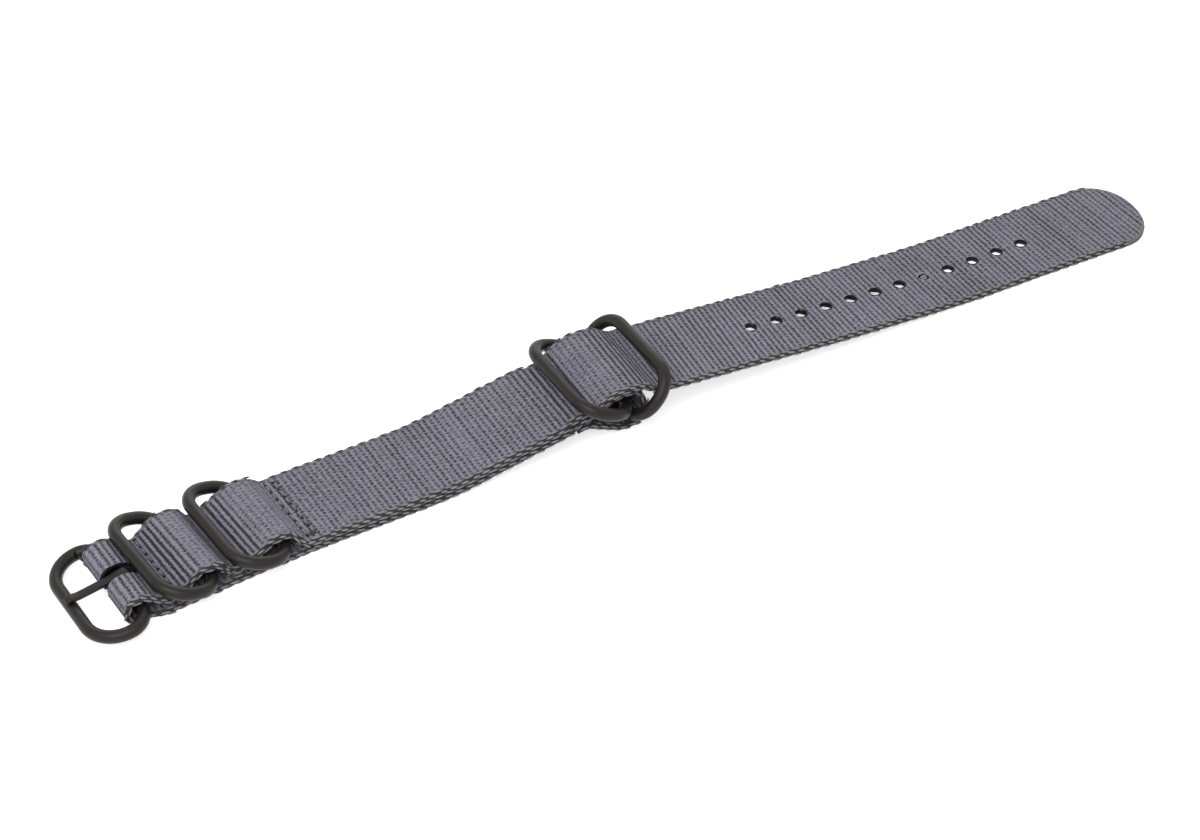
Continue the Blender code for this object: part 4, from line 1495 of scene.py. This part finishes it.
@dataclass
class ShortStrap:
    """The second webbing: under the long strap, and sewn to a loop round both head rings' bars."""

    start_x: float = 50.1 * MM
    shoulder: tuple[float, float] = (2.7 * MM, 3.0 * MM)
    nose: tuple[float, float, float] = (3.6 * MM, 1.1 * MM, 2.6 * MM)
    heel: tuple[float, float] = (2.2 * MM, 1.8 * MM)
    sole: tuple[float, float] = (-2.4 * MM, 4.0 * MM)
    fold_radius: float = 4.0 * MM
    fold_length: float = 2.5 * MM
    regions: Regions = field(
        default_factory=lambda: Regions(
            [(50.0, 0.6, 0.8), (100.0, 0.6, 0.8), (108.0, 1.2, 0.5), (130.0, 1.2, 0.4)]
        )
    )

    def line(self) -> np.ndarray:
        """The webbing's middle line, whose loop's corners are set out from the head rings' bars.

        Returns:
            Even points, x and z, from the joining seam round the loop to the folded end.
        """
        rise_start, rise_end = Vector((RISE_START_X, UPPER_Z)), Vector(RISE_END)
        top_z = SQUEEZE.over_ring(HEAD_LEFT_BAR[1], HEAD_LEFT_LEAN)
        rise = rise_end - rise_start
        climb = Vector((HEAD_LEFT_BAR[0] - CREST_AHEAD, top_z + LAYER_PITCH)) - rise_end
        rise_angle = math.atan2(rise.y, rise.x)
        climb_angle = math.atan2(climb.y, climb.x)
        bend = (rise_angle + climb_angle) / 2
        drop = LAYER_PITCH / math.cos((climb_angle - rise_angle) / 2)
        down = Vector((math.sin(bend), -math.cos(bend))) * drop
        foot = rise_end + down
        fold = foot + down
        sole_z = HEAD_RIGHT_BAR[1] - WIRE_RADIUS - CLEARANCE - HALF_THICKNESS
        fold_end = fold - Vector((math.cos(rise_angle), math.sin(rise_angle))) * self.fold_length
        nose_x, nose_z, nose_radius = self.nose
        corners = [
            (self.start_x, LOWER_Z, 0.0),
            (rise_start.x + LAYER_PITCH * math.tan(rise_angle / 2), LOWER_Z, RISE_START_RADIUS),
            (foot.x, foot.y, RISE_END_RADIUS + LAYER_PITCH),
            (foot.x + (top_z - foot.y) / math.tan(climb_angle), top_z, CREST_RADIUS - LAYER_PITCH),
            (HEAD_LEFT_BAR[0] + self.shoulder[0], top_z, self.shoulder[1]),
            (HEAD_RIGHT_BAR[0] + nose_x, HEAD_RIGHT_BAR[1] + nose_z, nose_radius),
            (HEAD_RIGHT_BAR[0] + self.heel[0], sole_z, self.heel[1]),
            (HEAD_RIGHT_BAR[0] + self.sole[0], sole_z, self.sole[1]),
            (fold.x, fold.y, self.fold_radius),
            (fold_end.x, fold_end.y, 0.0),
        ]
        return rounded(corners, RIB_PITCH / RIB_SAMPLES)

    def webbing(self) -> Webbing:
        """The webbing with its widths and weave.

        Returns:
            The webbing, still to be built.
        """
        path = self.line()
        low = HEAD_LEFT_BAR[0] - RING_LENGTH * math.cos(HEAD_LEFT_LEAN)
        high = HEAD_RIGHT_BAR[0] + RING_LENGTH * math.cos(HEAD_RIGHT_LEAN)
        halves = [SQUEEZE.half(x, [(low, high)]) for x in path[:, 0]]
        gain, speck = self.regions.at(path[:, 0])
        skew = np.zeros(len(path))
        return Webbing("short_strap_webbing", path, np.array(halves), gain, speck, "short_strap", 23, skew)


def hang(piece: bpy.types.Object, body: Body) -> None:
    """Gives a piece its body, and reports it.

    Args:
        piece: the piece.
        body: its body.
    """
    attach(piece, body.value)
    LOG.info("%s: %d faces", piece.name, len(piece.data.polygons))


@dataclass
class Seam:
    """A row of stitching across the strap: needle stitches on top, bobbin stitches underneath."""

    name: str
    x: float
    pitch: float = 2.4 * MM
    margin: float = 2.2 * MM
    thread: float = 0.17 * MM
    reach: float = 0.86
    twist: float = 1.25
    ditch: float = 0.42 * MM
    ditch_reach: float = 0.48
    ditch_crown: float = 0.05 * MM
    ditch_depth: float = 0.1 * MM
    steps: int = 8
    sides: int = 5
    pit_size: float = 0.36 * MM
    pit_depth: float = 0.12 * MM
    pit_sides: int = 8
    tilt: float = math.radians(5)
    stitch_swell: float = 0.05
    pit_swell: float = 0.2

    def stitch(self) -> bpy.types.Object:
        """One stitch of two twisted plies in its pressed ditch, dipping into the webbing at both ends; its
        ends and the ditch are painted in shade.

        Returns:
            The stitch, along its X axis.
        """
        shape = Shape()
        for ply in (0.0, math.pi):
            rings, darkness = [], []
            for step in range(self.steps + 1):
                share = step / self.steps
                twist = ply + math.tau * self.twist * share
                arch = math.sin(math.pi * share) ** 0.5
                run = self.pitch * self.reach * (share - 0.5)
                centre = Vector((run, 0.0, (arch - 0.55) * self.thread * 2.2))
                centre += Vector((0.0, math.cos(twist), math.sin(twist))) * self.thread * 0.6
                spokes = [Vector((0.0, math.cos(a), math.sin(a))) for a in circle(self.sides)]
                rings.append([tuple(centre + spoke * self.thread) for spoke in spokes])
                # Painted shade at the stitch's ends, where it dips into the webbing.
                darkness.extend([1 - arch] * self.sides)
            shape.add(rings, darkened=darkness)
        rings = []
        for step in range(self.steps + 1):
            angle = math.pi * (step + 0.3) / (self.steps + 0.6)
            wide = math.sin(angle) ** 0.4 * self.ditch
            run = -math.cos(angle) * self.pitch * self.ditch_reach
            places = ((-wide, 0.0), (0.0, self.ditch_crown), (wide, 0.0), (0.0, -self.ditch_depth))
            rings.append([(run, y, z) for y, z in places])
        # The pressed ditch is drawn fully darkened: painted shade.
        shape.add(rings, darkened=1.0)
        return shape.build("stitch")

    def pit(self) -> bpy.types.Object:
        """The dimple where the needle goes in, drawn near black as painted shade.

        Returns:
            The dimple, about its own middle.
        """
        rings = []
        for step in range(5):
            angle = math.pi * (step + 0.25) / 4.5
            size, high = math.sin(angle) * self.pit_size, math.cos(angle) * self.pit_depth
            spokes = [(math.cos(a) * size, math.sin(a) * size * 1.15, high) for a in circle(self.pit_sides)]
            rings.append(spokes)
        shape = Shape()
        shape.add(rings)
        return shape.build("pit")

    def rows(
        self, strap: Webbing, later: bool, above: bool, between: bool
    ) -> list[tuple[Vector, Vector, Vector]]:
        """Where the stitches, or the pits between them, lie on one face.

        Args:
            strap: the webbing that carries them.
            later: whether the line's last crossing of x is meant.
            above: whether the upper face is meant.
            between: whether the places are the stitches' ends.

        Returns:
            The place, the way along and the way up of each.
        """
        index, sign = strap.spot(self.x, later, above)
        normal = strap.normals[index] * sign
        at = strap.path[index] + normal * (HALF_THICKNESS - strap.sag * 0.5)
        half, turn = HALF_WIDTH - self.margin, LIE.turn(self.x)
        along = Vector((-math.sin(turn), math.cos(turn), 0.0))
        count = round(2 * half / self.pitch)
        found = []
        for step in range(count + 1 if between else count):
            y = half * (2 * (step + (0.0 if between else 0.5)) / count - 1)
            found.append((LIE.at(at[0], y, at[1]), along, raised(normal, self.x)))
        return found

    def build(
        self, faces: Sequence[tuple[Webbing, bool, bool]], tree: GeometryGraph, looks: Finishes
    ) -> None:
        """Sews the row.

        Args:
            faces: the webbing, crossing and face of the needle side and of the bobbin side.
            tree: the tree that copies stitches.
            looks: the materials.
        """
        stitches = [at for face in faces for at in self.rows(*face, between=False)]
        pits = [at for face in faces for at in self.rows(*face, between=True)]
        seed = round(self.x / MM)
        name, swell = f"{self.name}_stitches", self.stitch_swell
        piece = scatter_pieces(tree, stitches, self.stitch(), name, looks.thread, seed, self.tilt, swell)
        name, swell = f"{self.name}_needle_pits", self.pit_swell
        holes = scatter_pieces(tree, pits, self.pit(), name, looks.pit, seed, self.tilt, swell)
        for made in (piece, holes):
            hang(made, Body.WEBBING)
        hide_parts(f"{self.name}_needle_thread", f"{self.name}_bobbin_thread")


@dataclass
class LooseThread:
    """The joining seam's slack: a small loop that stands off it, and the knot where the sewing ends."""

    thread: float = 0.16 * MM
    loop_at: tuple[float, float] = (48.5 * MM, -0.2 * MM)
    loop_size: tuple[float, float] = (0.95 * MM, 0.75 * MM)
    loop_steps: int = 22
    knot_at: tuple[float, float] = (50.0 * MM, -8.8 * MM)
    knot_size: float = 0.45 * MM
    knot_turns: float = 1.7
    knot_steps: int = 30
    sides: int = 6

    def strand(self, line: Sequence[Vector]) -> list[list[tuple[float, float, float]]]:
        """A thread along a line.

        Args:
            line: the points that it follows.

        Returns:
            The rings of its tube.
        """
        rings = []
        for index, point in enumerate(line):
            ahead = (line[min(index + 1, len(line) - 1)] - line[max(index - 1, 0)]).normalized()
            side = ahead.cross(Vector((0.0, 0.0, 1.0))).normalized()
            up = side.cross(ahead)
            spokes = [side * math.cos(angle) + up * math.sin(angle) for angle in circle(self.sides)]
            rings.append([tuple(point + spoke * self.thread) for spoke in spokes])
        return rings

    def build(self, top_z: float, finish: bpy.types.Material) -> None:
        """Makes the loop and the knot as one piece.

        Args:
            top_z: height of the webbing's upper face at the seam.
            finish: the thread's material.
        """
        wide, deep = self.loop_size
        loop, knot = [], []
        for step in range(self.loop_steps + 1):
            angle = math.radians(-35 + 250 * step / self.loop_steps)
            x, y = self.loop_at[0] - wide * math.sin(angle), self.loop_at[1] + deep * math.cos(angle)
            lift = 0.6 + 1.2 * math.sin(math.pi * step / self.loop_steps)
            loop.append(LIE.at(x, y, top_z + self.thread * lift))
        for step in range(self.knot_steps + 1):
            share = step / self.knot_steps
            angle = math.tau * self.knot_turns * share
            size = self.knot_size * (1 - 0.55 * share)
            x, y = self.knot_at[0] + size * math.cos(angle), self.knot_at[1] + 1.5 * size * math.sin(angle)
            knot.append(LIE.at(x, y, top_z + self.thread * (0.5 + 1.2 * share)))
        shape = Shape()
        # The loop is drawn half darkened, and the knot nearly fully darkened.
        shape.add(self.strand(loop), darkened=0.5)
        shape.add(self.strand(knot), darkened=0.9)
        hang(shape.build("loose_thread", finish), Body.WEBBING)


@dataclass
class Hoop:
    """A closed frame of round wire, hinged on its captured bar."""

    name: str
    node: str
    body: Body
    x: float
    z: float
    lean: float
    ahead: bool = False
    y: float = 0.0
    length: float = RING_LENGTH
    width: float = HARDWARE_WIDTH
    near_corner: float = RING_CORNER
    far_corner: float = RING_CORNER
    corner_steps: int = 16
    bar_steps: int = 10
    shortest_bar: float = 1.5 * MM
    sides: int = 24

    def pose(self) -> Matrix:
        """Where the hoop's own frame lies.

        Returns:
            The way from it to the shared frame.
        """
        turn = LIE.turn(self.x) + (0.0 if self.ahead else math.pi)
        moved = Matrix.Translation(LIE.at(self.x, self.y, self.z))
        return moved @ Matrix.Rotation(turn, 4, "Z") @ Matrix.Rotation(-self.lean, 4, "Y")

    def outline(self) -> list[Vector]:
        """The wire's middle line in the hoop's own frame.

        Returns:
            Its points, round from the far end's near corner.
        """
        half = self.width / 2
        corners = (
            (self.length - self.far_corner, half - self.far_corner, self.far_corner, 0),
            (self.near_corner, half - self.near_corner, self.near_corner, 1),
            (self.near_corner, self.near_corner - half, self.near_corner, 2),
            (self.length - self.far_corner, self.far_corner - half, self.far_corner, 3),
        )
        line = []
        for x, y, radius, quarter in corners:
            for step in range(self.corner_steps + 1):
                angle = math.pi / 2 * (quarter + step / self.corner_steps)
                line.append(Vector((x + radius * math.cos(angle), y + radius * math.sin(angle), 0.0)))
        filled = []
        for start, end in zip(line, line[1:] + line[:1]):
            parts = self.bar_steps if (end - start).length > self.shortest_bar else 1
            filled.extend(start.lerp(end, part / parts) for part in range(parts))
        return filled

    def build(self, finish: bpy.types.Material) -> None:
        """Bends the wire and hangs it on its body.

        Args:
            finish: the wire's material.
        """
        line, pose = self.outline(), self.pose()
        rings = []
        for index, point in enumerate(line):
            along = (line[(index + 1) % len(line)] - line[index - 1]).normalized()
            side = Vector((along.y, -along.x, 0.0))
            ring = []
            for angle in circle(self.sides):
                spoke = side * math.cos(angle) + Vector((0.0, 0.0, math.sin(angle)))
                ring.append(tuple(pose @ (point + spoke * WIRE_RADIUS)))
            rings.append(ring)
        shape = Shape()
        shape.add(rings, closed=True)
        piece = shape.build(self.name, finish)
        hang(piece, self.body)
        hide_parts(self.node)


@dataclass
class Buckle:
    """The buckle's frame and its tongue, on the pin inside the strap's loop."""

    length: float = 10.8 * MM
    width: float = 25.7 * MM
    shift: float = 0.5 * MM
    pin_corner: float = 4.2 * MM
    outer_corner: float = 6.6 * MM
    tongue_width: float = 1.9 * MM
    tongue_thickness: float = 0.9 * MM
    tongue_round: float = 0.28 * MM
    play: float = 0.2 * MM
    dip: float = 0.4 * MM
    kink: float = 1.9 * MM
    overhang: float = 0.9 * MM
    nose_drop: float = 0.4 * MM
    bend: float = 2.0 * MM
    tail: float = 2.9 * MM
    tail_drop: float = 0.2 * MM
    tongue_step: float = 0.25 * MM
    end_shares: tuple[float, ...] = (0.55, 0.82, 0.95)

    def hoop(self) -> Hoop:
        """The frame, which leans down to the table.

        Returns:
            The hoop, still to be built.
        """
        lean = -math.asin((BAR_Z - WIRE_RADIUS) / self.length)
        return Hoop(
            "buckle_wire", "buckle_frame", Body.BUCKLE, PIN_X, BAR_Z, lean, y=-self.shift,
            length=self.length, width=self.width, near_corner=self.pin_corner, far_corner=self.outer_corner,
        )

    def tongue_line(self) -> np.ndarray:
        """The strip's middle line in the frame's own plane.

        Returns:
            Even points, along the frame and above it, from the tip round the pin to the rolled end.
        """
        eye = WIRE_RADIUS + self.play + self.tongue_thickness / 2
        rest_z = WIRE_RADIUS + CLEARANCE + self.tongue_thickness / 2
        shank_z = rest_z - self.dip
        corners = [
            (self.length + self.overhang, rest_z - self.nose_drop, 0.0),
            (self.length, rest_z, self.bend),
            (self.length - self.kink, shank_z, self.bend),
            (self.tail, shank_z, self.bend),
            (0.0, eye, self.bend),
            (-eye, eye, eye),
            (-eye, -eye, eye),
            (eye / 2, -eye, eye / 2),
            (self.tail, -self.tail_drop, 0.0),
        ]
        return rounded(corners, self.tongue_step)

    def build_tongue(self, finish: bpy.types.Material) -> None:
        """Rolls the tongue round the pin.

        Args:
            finish: the strip's material.
        """
        path = self.tongue_line()
        ahead = np.gradient(path, axis=0)
        ahead /= np.linalg.norm(ahead, axis=1)[:, None]
        pose = Hoop("", "", Body.TONGUE, PIN_X, BAR_Z, self.hoop().lean).pose()
        half, high = self.tongue_width / 2, self.tongue_thickness / 2
        section = rounded_box(-half, half, high, self.tongue_round)
        rings = []
        for index, (point, way) in enumerate(zip(path, ahead)):
            normal = Vector((-way[1], way[0]))
            end = min(index, len(path) - 1 - index)
            slim = self.end_shares[end] if end < len(self.end_shares) else 1.0
            ring = []
            for across, above in section:
                at = Vector(point) + normal * above * slim
                ring.append(tuple(pose @ Vector((at.x, across * (0.5 + 0.5 * slim), at.y))))
            rings.append(ring)
        shape = Shape()
        shape.add(rings)
        piece = shape.build("buckle_tongue_strip", finish)
        hang(piece, Body.TONGUE)
        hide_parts("buckle_tongue")


@dataclass
class Studio:
    """The camera at the photograph's angle, soft lamps, and a plain white table."""

    centre: tuple[float, float, float] = (-0.288706, -0.479288, 0.46300)
    back: tuple[float, float, float] = (-0.3870, -0.6611, 0.6428)
    lens: float = 105.0
    sensor: float = 36.0
    nearest: float = 0.01
    world_strength: float = 0.55
    key_at: tuple[float, float, float] = (-0.45, -0.35, 0.75)
    key_size: float = 0.7
    key_power: float = 4.2
    rim_at: tuple[float, float, float] = (0.35, 0.65, 0.55)
    rim_size: float = 0.6
    rim_power: float = 1.4
    table: float = 3.0

    def build(self) -> None:
        """Sets up the camera, the light and the table."""
        back = Vector(self.back).normalized()
        right = Vector((0.0, 0.0, 1.0)).cross(back).normalized()
        turned = Matrix((right, back.cross(right), back)).transposed().to_4x4()
        camera = bpy.data.cameras.new("photo_camera")
        camera.lens = self.lens
        camera.sensor_width = self.sensor
        camera.sensor_fit = "HORIZONTAL"
        camera.clip_start = self.nearest
        holder = bpy.data.objects.new("photo_camera", camera)
        holder.matrix_world = Matrix.Translation(self.centre) @ turned
        bpy.context.scene.collection.objects.link(holder)
        bpy.context.scene.camera = holder
        bpy.context.scene.view_settings.view_transform = "Standard"
        self.lamp("key", self.key_at, self.key_size, self.key_power)
        self.lamp("rim", self.rim_at, self.rim_size, self.rim_power)
        self.light_world()
        self.floor()

    def lamp(self, name: str, at: tuple[float, float, float], size: float, power: float) -> None:
        """Adds a square lamp that faces the strap.

        Args:
            name: its name.
            at: its place.
            size: its width.
            power: its power in watts.
        """
        light = bpy.data.lights.new(name, "AREA")
        light.size = size
        light.energy = power
        holder = bpy.data.objects.new(name, light)
        toward = Vector(at).to_track_quat("Z", "Y").to_matrix().to_4x4()
        holder.matrix_world = Matrix.Translation(at) @ toward
        bpy.context.scene.collection.objects.link(holder)

    def light_world(self) -> None:
        """An even white surround, brighter to the camera."""
        world = bpy.data.worlds.new("studio")
        world.use_nodes = True
        bpy.context.scene.world = world
        graph = NodeGraph(world.node_tree)
        strength = graph.math("MULTIPLY_ADD", graph.seen(), 1.0 - self.world_strength, self.world_strength)
        background = world.node_tree.nodes["Background"]
        background.inputs["Color"].default_value = (1.0, 1.0, 1.0, 1.0)
        graph.feed(background.inputs["Strength"], strength)

    def floor(self) -> None:
        """The table."""
        half = self.table / 2
        mesh = bpy.data.meshes.new("table_top")
        corners = [(-half, -half, 0.0), (half, -half, 0.0), (half, half, 0.0), (-half, half, 0.0)]
        mesh.from_pydata(corners, [], [(0, 1, 2, 3)])
        mesh.materials.append(FloorFinish().build())
        place("table_top", mesh)


def finish_webbing(strap: Webbing) -> None:
    """Args:
        strap: the built webbing.
    """
    for piece in strap.pieces:
        hang(piece, Body.WEBBING)
    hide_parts(strap.replaces)


def main() -> None:
    """Builds the studio and every piece of the strap."""
    logging.basicConfig(level=logging.INFO, format="%(message)s")
    Studio().build()
    looks = Finishes()
    ribs, scatter = rib_tree(), scatter_tree()
    long_maker = LongStrap()
    long_strap, short_strap = long_maker.webbing(), ShortStrap().webbing()
    for strap in (long_strap, short_strap):
        strap.build(ribs, looks.webbing)
    long_maker.punch(long_strap.pieces[0], looks.cut)
    long_maker.rims(long_strap, looks.cut)
    long_maker.tip_rim(long_strap, looks.melt)
    for strap in (long_strap, short_strap):
        settle(strap.pieces[0])
        Lacing().dress(strap, scatter, looks.lace)
        finish_webbing(strap)
    top, under = (long_strap, True, True), (long_strap, False, False)
    table_side = (short_strap, False, False)
    for seam, faces in (
        (Seam("loop_seam", 20.0 * MM), (top, under)),
        (Seam("valley_seam", 32.9 * MM), (top, under)),
        (Seam("joining_seam_left", 49.1 * MM), (top, under)),
        (Seam("joining_seam_right", 50.8 * MM), (top, table_side)),
        (Seam("head_seam", 111.4 * MM), ((short_strap, False, True), (short_strap, True, False))),
    ):
        seam.build(faces, scatter, looks)
    LooseThread().build(UPPER_Z + HALF_THICKNESS, looks.thread)
    buckle = Buckle()
    buckle.hoop().build(looks.steel)
    buckle.build_tongue(looks.steel)
    inner, outer = (KEEPER_1_X, BAR_Z, KEEPER_1_LEAN), (KEEPER_2_X, BAR_Z, KEEPER_2_LEAN)
    left, right = (*HEAD_LEFT_BAR, HEAD_LEFT_LEAN), (*HEAD_RIGHT_BAR, HEAD_RIGHT_LEAN)
    for hoop in (
        Hoop("keeper_wire_inner", "keeper_ring_inner", Body.KEEPER_INNER, *inner),
        Hoop("keeper_wire_outer", "keeper_ring_outer", Body.KEEPER_OUTER, *outer),
        Hoop("head_wire_left", "head_ring_left", Body.HEAD_LEFT, *left),
        Hoop("head_wire_right", "head_ring_right", Body.HEAD_RIGHT, *right, ahead=True),
    ):
        hoop.build(looks.steel)


if __name__ == "__main__":
    main()
